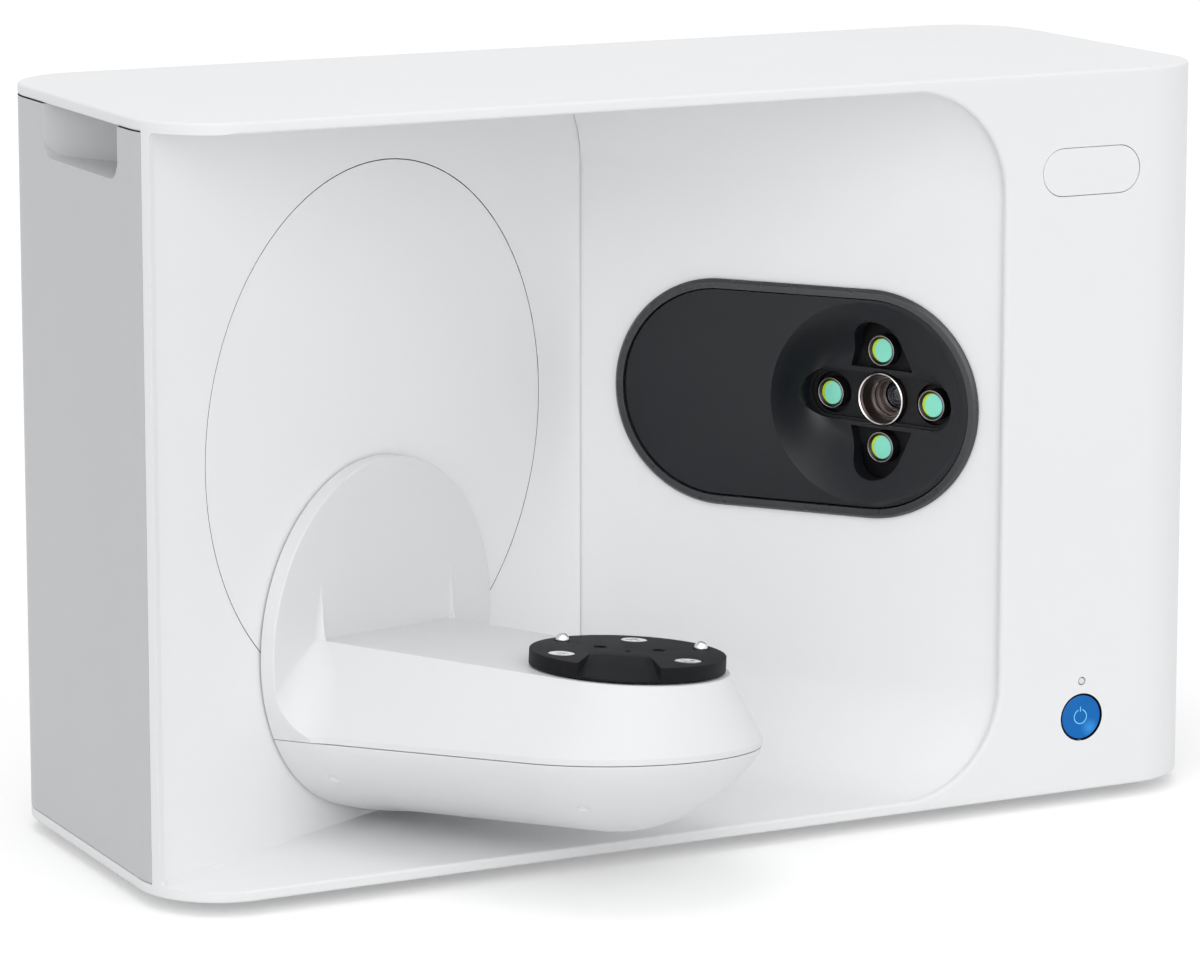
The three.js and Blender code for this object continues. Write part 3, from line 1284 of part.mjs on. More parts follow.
function mainBoard() {
  const low = FOOT_HEIGHT + BOARD_BASE;
  const back = boardBack();
  const half = BOARD_WIDTH / 2;
  const board = box(BOARD_X - half, BOARD_X + half, back - BOARD_THICKNESS, back, low, low + BOARD_HEIGHT);
  const chip = box(BOARD_X - CHIP_SIDE, BOARD_X + CHIP_SIDE, back - BOARD_THICKNESS - CHIP_HEIGHT,
    back - BOARD_THICKNESS + FIT, low + BOARD_HEIGHT / 2 - CHIP_SIDE, low + BOARD_HEIGHT / 2 + CHIP_SIDE);
  return board.add(chip);
}

function dataPort() {
  const front = boardBack() + FIT;
  const wide = DATA_PORT_WIDTH / 2;
  const tall = DATA_PORT_HEIGHT / 2;
  const shell = box(-wide, wide, front, HALF_DEPTH, -tall, tall);
  const mouth = box(-wide + PORT_WALL, wide - PORT_WALL, front + PORT_WALL, BODY_DEPTH, -tall + PORT_WALL,
    tall - PORT_WALL);
  const thin = DATA_TONGUE / 2;
  const tongue = box(-wide / 2, wide / 2, front, HALF_DEPTH - PORT_WALL, -thin, thin);
  return moved(shell.subtract(mouth).add(tongue), DATA_PORT_X, 0, portLevel());
}

function powerInlet() {
  const shape = roundedRectangle(INLET_WIDTH, INLET_HEIGHT, INLET_CORNER - FIT);
  const body = facing(shape, HALF_DEPTH - INLET_LENGTH, HALF_DEPTH, CORNER_STEPS);
  const wellShape = roundedRectangle(INLET_WIDTH - 2 * INLET_WALL, INLET_HEIGHT - 2 * INLET_WALL,
    INLET_WELL_CORNER);
  const well = facing(wellShape, HALF_DEPTH - INLET_WELL, HALF_DEPTH + OVERRUN, CORNER_STEPS);
  const pin = box(-INLET_PIN / 2, INLET_PIN / 2, HALF_DEPTH - INLET_WELL - EDGE, HALF_DEPTH - INLET_WALL,
    -INLET_PIN, INLET_PIN);
  const inlet = body.subtract(well)
    .add(moved(pin, -INLET_PIN_SIDE, 0, 0))
    .add(moved(pin, INLET_PIN_SIDE, 0, 0))
    .add(moved(pin, 0, 0, INLET_PIN));
  return moved(inlet, INLET_X, 0, inletLevel());
}

function powerSupply() {
  const back = HALF_DEPTH - SUPPLY_REAR_SETBACK;
  const half = SUPPLY_WIDTH / 2;
  const low = FLOOR + FIT;
  return box(SUPPLY_X - half, SUPPLY_X + half, back - SUPPLY_DEPTH, back, low, low + SUPPLY_HEIGHT);
}

function onFan(piece) {
  return moved(piece, FAN_X, HALF_DEPTH - SKIN - FIT, FOOT_HEIGHT + FAN_HEIGHT);
}

function fanFrame() {
  const ring = facing(roundedRectangle(FAN_SIDE, FAN_SIDE, MOTOR_CORNER), -FAN_DEPTH, 0, CORNER_STEPS)
    .subtract(pole(FAN_BORE, -OVERRUN, OVERRUN, PLATE_FACETS));
  const front = -FAN_DEPTH;
  const half = FAN_STRUT / 2;
  const reach = FAN_BORE + EDGE;
  const across = box(-reach, reach, front, front + FAN_STRUT, -half, half);
  const upDown = box(-half, half, front, front + FAN_STRUT, -reach, reach);
  return onFan(union([ring, across, upDown, pole(FAN_HUB, front, front + FAN_STRUT)]));
}

function fanRotor() {
  const front = -FAN_DEPTH + FAN_STRUT + FAN_RUN;
  const back = -FAN_RUN;
  const middle = (front + back) / 2;
  const half = (back - front) / 2 - EDGE;
  const thin = FAN_BLADE_THICKNESS / 2;
  const blade = moved(spun(box(FAN_HUB / 2, FAN_BORE - FAN_TIP_GAP, -half, half, -thin, thin),
    FAN_BLADE_DEG, 0, 0), 0, middle, 0);
  const blades = [];
  for (let i = 0; i < FAN_BLADES; i += 1) {
    blades.push(spun(blade, 0, FULL_TURN * i / FAN_BLADES, 0));
  }
  return onFan(union([pole(FAN_HUB, front, back), ...blades]));
}

// The whole scanner

const pieces = [
  ['main_housing', mainHousing(), WHITE],
  ['left_side_panel', sidePanel(-1), WHITE],
  ['right_side_panel', sidePanel(1), WHITE],
  ['rear_panel', rearPanel(), WHITE],
  ['chamber_left_wall', chamberLeftWall(), CHAMBER_WHITE],
  ['chamber_right_wall', chamberRightWall(), CHAMBER_WHITE],
  ['front_left_foot', foot(-1, -1), RUBBER],
  ['front_right_foot', foot(1, -1), RUBBER],
  ['rear_left_foot', foot(-1, 1), RUBBER],
  ['rear_right_foot', foot(1, 1), RUBBER],
  ['badge_insert', badgeInsert(), WHITE],
  ['status_light_pipe', statusLightPipe(), CLEAR],
  ['button_housing', buttonHousing(), IVORY],
  ['tact_switch', tactSwitch(), BLACK],
  ['power_button', powerButton(), BLUE],
  ['scan_head_bezel', onRightWall(scanHeadBezel()), BLACK_GLOSS],
  ['scan_head_face', onRightWall(scanHeadFace()), DARK_GREY],
  ['camera_carrier', onOptics(cameraCarrier()), ALUMINIUM],
  ['left_camera', onOptics(moved(camera(), -CAMERA_SIDE, 0, 0)), BLACK],
  ['right_camera', onOptics(moved(camera(), CAMERA_SIDE, 0, 0)), BLACK],
  ['upper_camera', onOptics(moved(camera(), 0, 0, CAMERA_RISE)), BLACK],
  ['lower_camera', onOptics(moved(camera(), 0, 0, -CAMERA_RISE)), BLACK],
  ['left_filter', onOptics(moved(cameraFilter(), -CAMERA_SIDE, 0, 0)), MINT],
  ['right_filter', onOptics(moved(cameraFilter(), CAMERA_SIDE, 0, 0)), MINT],
  ['upper_filter', onOptics(moved(cameraFilter(), 0, 0, CAMERA_RISE)), MINT],
  ['lower_filter', onOptics(moved(cameraFilter(), 0, 0, -CAMERA_RISE)), MINT],
  ['projector_barrel', onOptics(projectorBarrel()), BLACK],
  ['projector_ring', onOptics(projectorRing()), STEEL],
  ['projector_lens', onOptics(projectorLens()), GLASS],
  ['projector_body', onOptics(projectorBody()), BLACK],
  ['main_board', mainBoard(), BOARD_GREEN],
  ['power_supply', powerSupply(), ALUMINIUM],
  ['cooling_fan_frame', fanFrame(), BLACK],
  ['fan_rotor', fanRotor(), BLACK],
  ['power_inlet', powerInlet(), BLACK],
  ['data_port', dataPort(), STEEL],
  ['drive_chassis', onLeftWall(driveChassis()), ALUMINIUM],
  ['bearing_housing', onLeftWall(bearingHousing()), ALUMINIUM],
  ['swing_motor', onLeftWall(swingMotor()), BLACK],
  ['drive_belt', onLeftWall(driveBelt()), RUBBER],
  ['motor_pulley', onLeftWall(motorPulley()), STEEL],
  ['swing_disc', onArm(swingDisc()), CHAMBER_WHITE],
  ['swing_shaft', onArm(swingShaft()), STEEL],
  ['swing_pulley', onArm(swingPulley()), BLACK],
  ['arm_upper_shell', onArm(armUpperShell()), WHITE],
  ['arm_lower_shell', onArm(armLowerShell()), WHITE],
  ['arm_frame', onArm(armFrame()), ALUMINIUM],
  ['turntable_bearing', onArm(turntableBearing()), STEEL],
  ['turntable_motor', onArm(turntableMotor()), BLACK],
  ['turntable_plate', onArm(turntablePlate()), BLACK],
  ['turntable_shaft', onArm(turntableShaft()), STEEL],
  ['front_magnet', onArm(onTable(magnet(), MAGNET_RING, MAGNET_DEGS[0])), STEEL],
  ['left_magnet', onArm(onTable(magnet(), MAGNET_RING, MAGNET_DEGS[1])), STEEL],
  ['right_magnet', onArm(onTable(magnet(), MAGNET_RING, MAGNET_DEGS[2])), STEEL],
  ['right_locating_ball', onArm(onTable(locatingBall(), BALL_RING, BALL_DEGS[0])), STEEL],
  ['rear_locating_ball', onArm(onTable(locatingBall(), BALL_RING, BALL_DEGS[1])), STEEL],
];

const scanner = new THREE.Group();
scanner.name = 'desktop_3d_scanner';
pieces.forEach(([name, piece, material]) => scanner.add(mesh(name, piece, material)));
const bounds = new THREE.Box3().setFromObject(scanner);
const middle = bounds.getCenter(new THREE.Vector3());
scanner.position.set(-middle.x, -middle.y, -bounds.min.z);
scanner.updateMatrixWorld(true);

export default scanner;
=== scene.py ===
import json
from functools import partialmethod
from math import asin, cos, hypot, pi, radians, sin, sqrt, tan

import bmesh
import bpy
from mathutils import Matrix, Vector


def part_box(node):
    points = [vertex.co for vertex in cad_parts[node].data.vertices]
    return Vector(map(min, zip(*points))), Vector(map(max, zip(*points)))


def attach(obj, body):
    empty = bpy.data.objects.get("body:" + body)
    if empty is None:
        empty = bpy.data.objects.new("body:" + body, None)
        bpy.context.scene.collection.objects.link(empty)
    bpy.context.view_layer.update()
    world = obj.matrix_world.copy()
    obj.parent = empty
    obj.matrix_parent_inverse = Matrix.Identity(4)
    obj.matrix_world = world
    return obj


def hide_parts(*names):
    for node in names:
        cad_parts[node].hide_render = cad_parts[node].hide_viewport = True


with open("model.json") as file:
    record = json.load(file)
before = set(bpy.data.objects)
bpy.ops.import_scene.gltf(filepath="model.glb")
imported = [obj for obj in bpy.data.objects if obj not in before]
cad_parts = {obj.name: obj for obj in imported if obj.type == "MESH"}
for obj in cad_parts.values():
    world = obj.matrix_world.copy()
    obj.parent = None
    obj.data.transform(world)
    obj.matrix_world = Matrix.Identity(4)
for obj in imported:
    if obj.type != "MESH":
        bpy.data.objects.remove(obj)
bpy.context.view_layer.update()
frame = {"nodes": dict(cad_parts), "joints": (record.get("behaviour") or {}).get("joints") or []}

scene = bpy.context.scene

# The photographer's camera: a long lens, a little above the scanner and left of its front, so that the open
# left corner, the chamber's two walls and the front panel all show. The view shift keeps the uprights
# nearly parallel.
camera_data = bpy.data.cameras.new("camera")
camera_data.lens = 150.46
camera_data.sensor_width = 36
camera_data.shift_y = -0.12
camera_data.clip_end = 40
camera = bpy.data.objects.new("camera", camera_data)
scene.collection.objects.link(camera)
housing_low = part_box("main_housing")[0]
body_middle = Vector((0, housing_low.y + 0.09885, housing_low.z))
camera.location = body_middle + Vector((-0.98819, -1.95826, 0.57741))
camera.rotation_euler = (radians(90 - 9.623), 0, radians(-26.618))
scene.camera = camera


# The main housing is one injection-moulded ABS shell: the top plate, the base plate, the front panel right
# of the mouth and the slim post at the left. It is sprayed with a fine white satin paint over softly
# rounded edges.
class Value:
    """One output of a node. Arithmetic on it adds the Math nodes that work it out."""

    def __init__(self, nodes, socket):
        self.nodes = nodes
        self.socket = socket

    def math(self, operation, *others):
        return self.nodes.node("ShaderNodeMath", {"operation": operation}, dict(enumerate((self, *others))))

    def __rsub__(self, other):
        return self * -1 + other


for sign, operation in (("add", "ADD"), ("radd", "ADD"), ("sub", "SUBTRACT"), ("mul", "MULTIPLY"),
                        ("rmul", "MULTIPLY"), ("lt", "LESS_THAN"), ("gt", "GREATER_THAN")):
    setattr(Value, f"__{sign}__", partialmethod(Value.math, operation))


class Nodes:
    """A node tree that is built up call by call."""

    def __init__(self, tree):
        self.tree = tree

    def node(self, kind, settings=None, sockets=None, output=0):
        made = self.tree.nodes.new(kind)
        for key, value in (settings or {}).items():
            setattr(made, key, value)
        for key, value in (sockets or {}).items():
            if isinstance(value, Value):
                self.tree.links.new(value.socket, made.inputs[key])
            else:
                made.inputs[key].default_value = value
        return Value(self, made.outputs[output])


class Finish(Nodes):
    """A surface finish made of shader nodes."""

    def __init__(self, name):
        self.material = bpy.data.materials.new(name)
        self.material.use_nodes = True
        super().__init__(self.material.node_tree)
        self.tree.nodes.clear()

    def noise(self, size, detail=2.0):
        place = self.node("ShaderNodeTexCoord", output="Object")
        return self.node("ShaderNodeTexNoise", sockets={"Vector": place, "Scale": 1 / size, "Detail": detail})

    def blend(self, share, first, second):
        first, second = (value if isinstance(value, Value) else (*value, 1) for value in (first, second))
        return self.node("ShaderNodeMix", {"data_type": "RGBA"}, {0: share, 6: first, 7: second}, 2)

    def surface(self, colour, roughness, height=None, depth=0.0001, **sockets):
        base = {"Base Color": colour, "Roughness": roughness}
        if height is not None:
            bump = {"Strength": 0.5, "Distance": depth, "Height": height}
            base["Normal"] = self.node("ShaderNodeBump", sockets=bump, output="Normal")
        base.update({name.replace("_", " "): value for name, value in sockets.items()})
        self.show(self.node("ShaderNodeBsdfPrincipled", sockets=base))
        return self.material

    def show(self, shader):
        end = self.tree.nodes.new("ShaderNodeOutputMaterial")
        self.tree.links.new(shader.socket, end.inputs["Surface"])


def sprayed_white(name, colour, roughness):
    """Satin paint over moulded plastic: an even white with a faint cloud and a fine orange peel."""
    finish = Finish(name)
    darker = tuple(0.975 * channel for channel in colour)
    cloud = finish.blend(finish.noise(0.11), darker, colour)
    return finish.surface(cloud, roughness + 0.07 * finish.noise(0.02), finish.noise(0.0011, 3.0), 0.00005,
                          Specular_IOR_Level=0.4)


def dark_plastic(name, colour, roughness, grain=0.0006, gloss=0.3):
    """Black or dark grey material with a fine eroded texture."""
    finish = Finish(name)
    paler = tuple(1.2 * channel + 0.001 for channel in colour)
    cloud = finish.blend(finish.noise(0.03), colour, paler)
    return finish.surface(cloud, roughness + 0.08 * finish.noise(0.012), finish.noise(grain, 3.0), 0.00006,
                          Specular_IOR_Level=gloss)


def arc(middle, radius, start, end, steps):
    """Points of a circular arc, its angles in degrees."""
    angles = [radians(start + (end - start) * step / steps) for step in range(steps + 1)]
    return [(middle[0] + radius * cos(angle), middle[1] + radius * sin(angle)) for angle in angles]


def rounded_rectangle(width, height, radius, steps=20):
    x, y = width / 2 - radius, height / 2 - radius
    return [point for middle, start in (((x, -y), -90), ((x, y), 0), ((-x, y), 90), ((-x, -y), 180))
            for point in arc(middle, radius, start, start + 90, steps)]


def mesh_of(form):
    """The form as a mesh, welded and with its faces outwards."""
    bmesh.ops.remove_doubles(form, verts=form.verts, dist=0.0002)
    bmesh.ops.recalc_face_normals(form, faces=form.faces)
    mesh = bpy.data.meshes.new("form")
    form.to_mesh(mesh)
    form.free()
    return mesh


def loft(rings):
    """A closed form through rings of points, with a flat face at each end."""
    form = bmesh.new()
    rows = [[form.verts.new(point) for point in ring] for ring in rings]
    for first, second in zip(rows, rows[1:]):
        for i in range(len(first)):
            form.faces.new((first[i - 1], first[i], second[i], second[i - 1]))
    form.faces.new(rows[0])
    form.faces.new(rows[-1])
    return mesh_of(form)


def upright(outline, low, high):
    """A form with its outline seen from above."""
    return loft([[(x, y, level) for x, y in outline] for level in (low, high)])


def facing(outline, front, back):
    """A form with its outline seen from the front."""
    return loft([[(x, y, z) for x, z in outline] for y in (front, back)])


def block(left, right, front, back, low, high):
    return upright([(left, front), (right, front), (right, back), (left, back)], low, high)


def finished(made):
    """The mesh that comes out of an object's modifiers. The object itself goes."""
    mesh = bpy.data.meshes.new_from_object(made.evaluated_get(bpy.context.evaluated_depsgraph_get()))
    bpy.data.objects.remove(made)
    return mesh


def combining(operation):
    """The function that changes a form by each of the others in turn."""

    def combined(form, *others):
        for other in others:
            parts = [bpy.data.objects.new("part", mesh) for mesh in (form, other)]
            for part in parts:
                scene.collection.objects.link(part)
            change = parts[0].modifiers.new("change", "BOOLEAN")
            change.operation = operation
            change.solver = "MANIFOLD"
            change.object = parts[1]
            form = finished(parts[0])
            bpy.data.objects.remove(parts[1])
        return form

    return combined


cut, joined, shared = (combining(operation) for operation in ("DIFFERENCE", "UNION", "INTERSECT"))


def placed(mesh, place):
    mesh.transform(place)
    return mesh


def piece(name, mesh, place, material, stands_for=(), edge=0.0, body="housing", sharp=30):
    """A finished piece on its body, smooth but for its sharp edges, which are broken by a small radius."""
    made = bpy.data.objects.new(name, placed(mesh, place))
    scene.collection.objects.link(made)
    mesh.materials.clear()
    mesh.materials.append(material)
    mesh.shade_smooth()
    mesh.set_sharp_from_angle(angle=radians(sharp))
    if edge:
        bevel = made.modifiers.new("broken edges", "BEVEL")
        bevel.width = edge
        bevel.segments = 3
        bevel.angle_limit = radians(sharp)
        bevel.harden_normals = True
    else:
        made.modifiers.new("even faces", "WEIGHTED_NORMAL").keep_sharp = True
    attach(made, body)
    if stands_for:
        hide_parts(*stands_for)
    return made


def repaint(made, material, place, chosen):
    """A further material for the faces chosen by their centre in the given place and their normal."""
    made.data.materials.append(material)
    from_world = place.inverted()
    for polygon in made.data.polygons:
        if chosen(from_world @ polygon.center, polygon.normal):
            polygon.material_index = len(made.data.materials) - 1


millimetres = Matrix.Scale(0.001, 4)
body_place = Matrix.Translation(body_middle) @ millimetres
half_width, half_depth, height, corner_radius = 252.5, 98.85, 325, 37.4
skin, floor_level, ceiling_level, plate_rim = 3, 5, 320, 1.2
mouth_right, mouth_radius, mouth_rounding = 142.3, 48, 1.8
mouth_corner = mouth_right - mouth_radius
seam, post_front, post_fillet = 27 - half_depth, 21.3 - half_depth, 2.5
left_turn = radians(28.06)
button_x, button_z, light_z, button_hole = 185, 33.9, 50.4, 10.85
pill_span, pill_radius = 14.3, 10.8


def body_outline(inset=0.0):
    return rounded_rectangle(2 * (half_width - inset), 2 * (half_depth - inset), corner_radius - inset, 32)


def skin_band(low, high):
    return cut(upright(body_outline(), low, high), upright(body_outline(skin), low - 10, high + 10))


def quarter_round(radius, steps=8):
    """How far a fillet still has to go along, and has gone across, in equal steps of its turn."""
    turns = [pi / 2 * step / steps for step in range(steps + 1)]
    return [(radius * (1 - sin(turn)), radius * (1 - cos(turn))) for turn in turns]


def housing_plate(low, high):
    """The top or the base plate with its rim rounded."""
    rim = quarter_round(plate_rim, 6)
    levels = [(along, low + across) for along, across in rim]
    levels += [(across, high - along) for along, across in rim]
    return loft([[(x, y, level) for x, y in body_outline(inset)] for inset, level in levels])


def room_ring(corner, radius, wider, y):
    """An opening's outline at one depth, rounded into both plates at its right and open at its left."""
    low, high = floor_level - wider, ceiling_level + wider
    outline = (arc((corner, low + radius), radius, -90, 0, 28)
               + arc((corner, high - radius), radius, 0, 90, 28) + [(-600, high), (-600, low)])
    return [(x, y, z) for x, z in outline]


def mouth_ring(y, wider=0.0):
    return room_ring(mouth_corner, mouth_radius + wider, wider, y)


mouth = loft([mouth_ring(-200)] + [mouth_ring(post_front - short, -inset)
                                   for short, inset in quarter_round(post_fillet)])
flare = loft([mouth_ring(-half_depth - 1, mouth_rounding)]
             + [mouth_ring(inset - half_depth, short) for short, inset in quarter_round(mouth_rounding)])
edge_rings = [[(x, -short, z) for x, z in ((0, floor_level + inset), (60, floor_level + inset),
                                           (60, ceiling_level - inset), (0, ceiling_level - inset))]
              for short, inset in [(60, 0)] + quarter_round(post_fillet)]
post_edge = placed(loft(edge_rings),
                   Matrix.Translation((0.9 - half_width, post_front, 0)) @ Matrix.Rotation(left_turn, 4, "Z"))
front_band = shared(skin_band(floor_level - 2, ceiling_level + 2), block(-400, 400, -200, seam, -50, 400))
shell = joined(cut(front_band, mouth, flare, post_edge), housing_plate(0, floor_level),
               housing_plate(ceiling_level, height))
button_spot = Matrix.Translation((button_x, -half_depth, button_z))
light_spot = Matrix.Translation((button_x, -half_depth, light_z))
pill_spot = Matrix.Translation((185.8, -half_depth, 280.8))


def circle(radius, steps=96):
    return arc((0, 0), radius, 0, 360 * (1 - 1 / steps), steps - 1)


def stadium(half_span, radius, steps=32):
    return arc((half_span, 0), radius, -90, 90, steps) + arc((-half_span, 0), radius, 90, 270, steps)


for outline, spot in ((circle(button_hole), button_spot), (circle(1.95, 48), light_spot),
                      (stadium(pill_span, pill_radius), pill_spot)):
    shell = cut(shell, placed(facing(outline, -10, 10), spot))
housing_white = sprayed_white("housing white", (0.84, 0.847, 0.858), 0.4)
housing = piece("housing_shell", shell, body_place, housing_white, ["main_housing"], 0.0008)
# A near-black finish that paints shade into gaps: it lines the button's hole, the side covers' seams and the
# gap round the swing disc.
painted_gap_shade = dark_plastic("painted gap shade", (0.003, 0.004, 0.008), 0.6)
# The faces lining the button's hole are painted near black: painted shade in the gap.
repaint(housing, painted_gap_shade, body_place, lambda spot, normal: spot.y > 0.15 - half_depth
        and hypot(spot.x - button_x, spot.z - button_z) < button_hole + 0.15)

# The side covers are separate mouldings of the same plastic that close the body's ends behind the front
# seam. Each has a deep rounded grip under the top plate for lifting the machine, and clips into the plates.
side_seam, rear_edge = seam + 0.3, half_width - 43
grip_middle, grip_half, grip_depth = 93.2 - half_depth, 43.5, 24
grip_low, grip_corner = ceiling_level - 23, 9


def grip_form(wall):
    """The grip seen from outside, X along the cover and +Y into the machine, its back curved in plan."""
    half, corner, low, depth = grip_half + wall, grip_corner + wall, grip_low - wall, grip_depth + wall
    front = facing([(-half, 400)] + arc((-half + corner, low + corner), corner, 180, 270, 14)
                   + arc((half - corner, low + corner), corner, -90, 0, 14) + [(half, 400)], -10, depth + 10)
    radius = (half ** 2 + depth ** 2) / (2 * depth)
    sweep = asin(half / radius) * 180 / pi
    plan = arc((0, depth - radius), radius, 90 - sweep, 90 + sweep, 40) + [(-half, -30), (half, -30)]
    return shared(front, upright(plan, 0, 500))


# The side covers' white is a darker copy of the shell's white of the same plastic: painted shade on the
# body's ends.
shaded_side_white = sprayed_white("side cover white, painted shade", (0.575, 0.582, 0.594), 0.4)
cover_low, cover_high = floor_level + 0.3, ceiling_level - 0.3
both_sides = ((-1, "left"), (1, "right"))
for side, name in both_sides:
    ends = sorted((side * rear_edge, side * 400))
    grip_place = (Matrix.Translation((side * half_width, grip_middle, 0))
                  @ Matrix.Rotation(side * pi / 2, 4, "Z"))
    bucket = shared(placed(grip_form(2), grip_place), upright(body_outline(), 0, cover_high))
    cover = shared(skin_band(0, height), block(*ends, side_seam, 300, cover_low, cover_high))
    cover = cut(joined(cover, bucket), placed(grip_form(0), grip_place))
    made = piece(name + "_side_cover", cover, body_place, shaded_side_white, [name + "_side_panel"], 0.0003)
    low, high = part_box(name + "_side_panel")
    # Its faces above and below the side panel's height, in the seams to the plates, are painted near black:
    # painted shade in the gaps.
    repaint(made, painted_gap_shade, Matrix(), lambda spot, normal: not low.z + 0.0001 < spot.z < high.z - 0.0001)

# The rear cover is a flat moulded panel with vent slots for the board and a grille for the fan. It is held
# by six countersunk steel screws, and the power inlet and the data port show through it.
def merged_copy(node):
    """The CAD node's surface as one welded mesh with its flat faces whole."""
    welded = bmesh.new()
    welded.from_mesh(frame["nodes"][node].data)
    bmesh.ops.remove_doubles(welded, verts=welded.verts, dist=0.000002)
    bmesh.ops.dissolve_limit(welded, angle_limit=radians(0.5), verts=welded.verts, edges=welded.edges)
    mesh = bpy.data.meshes.new(node + "_surface")
    welded.to_mesh(mesh)
    welded.free()
    return mesh


def turned_metal(name, colour, roughness, marks=0.0005):
    """Machined metal with fine, uneven tool marks."""
    finish = Finish(name)
    tool_marks = finish.noise(marks, 4.0)
    duller = tuple(0.84 * channel for channel in colour)
    return finish.surface(finish.blend(tool_marks, duller, colour), roughness + 0.1 * finish.noise(0.004),
                          tool_marks, 0.00002, Metallic=1.0)


def cross_head_screws(points, material, radius, depth, slot):
    """Countersunk screws with cross recesses, head up on the given points, made by Geometry Nodes."""
    tree = bpy.data.node_groups.new("cross head screws", "GeometryNodeTree")
    tree.interface.new_socket("Spots", in_out="INPUT", socket_type="NodeSocketGeometry")
    sizes = {"Head radius": radius, "Head depth": depth, "Slot width": slot}
    named = {name: tree.interface.new_socket(name, in_out="INPUT", socket_type="NodeSocketFloat").identifier
             for name in sizes}
    tree.interface.new_socket("Screws", in_out="OUTPUT", socket_type="NodeSocketGeometry")
    nodes = Nodes(tree)
    given = tree.nodes.new("NodeGroupInput")
    spots, head_radius, head_depth, width = (Value(nodes, given.outputs[name]) for name in ("Spots", *sizes))
    head = nodes.node("GeometryNodeMeshCone", sockets={
        "Vertices": 40, "Radius Top": head_radius, "Radius Bottom": head_radius * 0.62, "Depth": head_depth})
    screw = nodes.node("GeometryNodeMeshBoolean", {"operation": "DIFFERENCE", "solver": "MANIFOLD"},
                       {"Mesh 1": head})
    raised = nodes.node("ShaderNodeCombineXYZ", sockets={"Z": head_depth})
    for along, across in (("X", "Y"), ("Y", "X")):
        size = nodes.node("ShaderNodeCombineXYZ", sockets={
            along: head_radius * 1.15, across: width, "Z": head_depth * 0.9})
        bar = nodes.node("GeometryNodeMeshCube", sockets={"Size": size})
        bar = nodes.node("GeometryNodeTransform", sockets={"Geometry": bar, "Translation": raised})
        tree.links.new(bar.socket, screw.socket.node.inputs["Mesh 2"])
    whole = nodes.node("GeometryNodeInstanceOnPoints", sockets={"Points": spots, "Instance": screw})
    whole = nodes.node("GeometryNodeRealizeInstances", sockets={"Geometry": whole})
    whole = nodes.node("GeometryNodeSetMaterial", sockets={"Geometry": whole, "Material": material})
    tree.links.new(whole.socket, tree.nodes.new("NodeGroupOutput").inputs[0])

    places = bpy.data.meshes.new("screw spots")
    places.from_pydata(points, [], [])
    holder = bpy.data.objects.new("screw spots", places)
    scene.collection.objects.link(holder)
    maker = holder.modifiers.new("screws", "NODES")
    maker.node_group = tree
    for name, size in sizes.items():
        maker[named[name]] = size
    return finished(holder)


steel = turned_metal("bright steel", (0.80, 0.81, 0.82), 0.16)
rear_spots = [(x, z) for x in (-198, 0, 198) for z in (13, height - 13)]
rear = placed(merged_copy("rear_panel"), body_place.inverted())
to_rear = Matrix.Translation((0, half_depth, 0)) @ Matrix.Rotation(pi / -2, 4, "X")
for x, z in rear_spots:
    sink = [[(x + radius * a, half_depth + y, z + radius * b) for a, b in circle(1, 40)]
            for radius, y in ((1.815, -1.7), (3.3, -0.4), (3.3, 3))]
    rear = cut(rear, loft(sink))
piece("rear_cover", rear, body_place, housing_white, ["rear_panel"], 0.0003)
rear_screws = cross_head_screws([(x, -z, -1.6) for x, z in rear_spots], steel, 3.0, 1.2, 0.7)
piece("rear_cover_screws", rear_screws, body_place @ to_rear, steel)

# The chamber walls are moulded in the same plastic with a matt paint, so that the cameras see no glare. The
# right wall sweeps into floor and ceiling in one wide fillet; the left wall has the round opening of the
# swing disc.
right_turn, chamber_depth = radians(-51.77), 165.6
right_slope = tan(-right_turn)
back_x, back_y = mouth_right + 4.9 - chamber_depth / right_slope, chamber_depth - half_depth
swing = next(joint for joint in frame["joints"] if joint["name"] == "arm_swing")
swing_point = Vector(swing["pos_m"])
wall_turn = Matrix.Rotation(left_turn, 4, "Z")
wall_place = Matrix.Translation(swing_point) @ wall_turn @ millimetres
to_body = body_place.inverted()
corner_distance = (Vector((back_x, back_y, 0)) - to_body @ swing_point).to_2d().length
# The chamber's matt white is paler than the shell's white of the same plastic: painted light that brightens
# its walls, floor and ceiling.
lit_chamber_white = sprayed_white("chamber white, painted light", (0.9, 0.905, 0.913), 0.55)
repaint(housing, lit_chamber_white, body_place,
        lambda spot, normal: abs(normal.z) > 0.999 and 0.1 < spot.z < height - 0.1)
inside = upright(body_outline(skin + 0.3), floor_level - 0.5, ceiling_level + 0.5)
disc_radius = 117.7


def dark_gap(made):
    """Paints the faces that line the hairline gap round the disc near black, as painted shade."""
    wall_normal = wall_turn.col[1].to_3d()
    repaint(made, painted_gap_shade, wall_place, lambda spot, normal:
            abs(hypot(spot.x, spot.z) - disc_radius) < 0.5 and abs(normal.dot(wall_normal)) < 0.3)


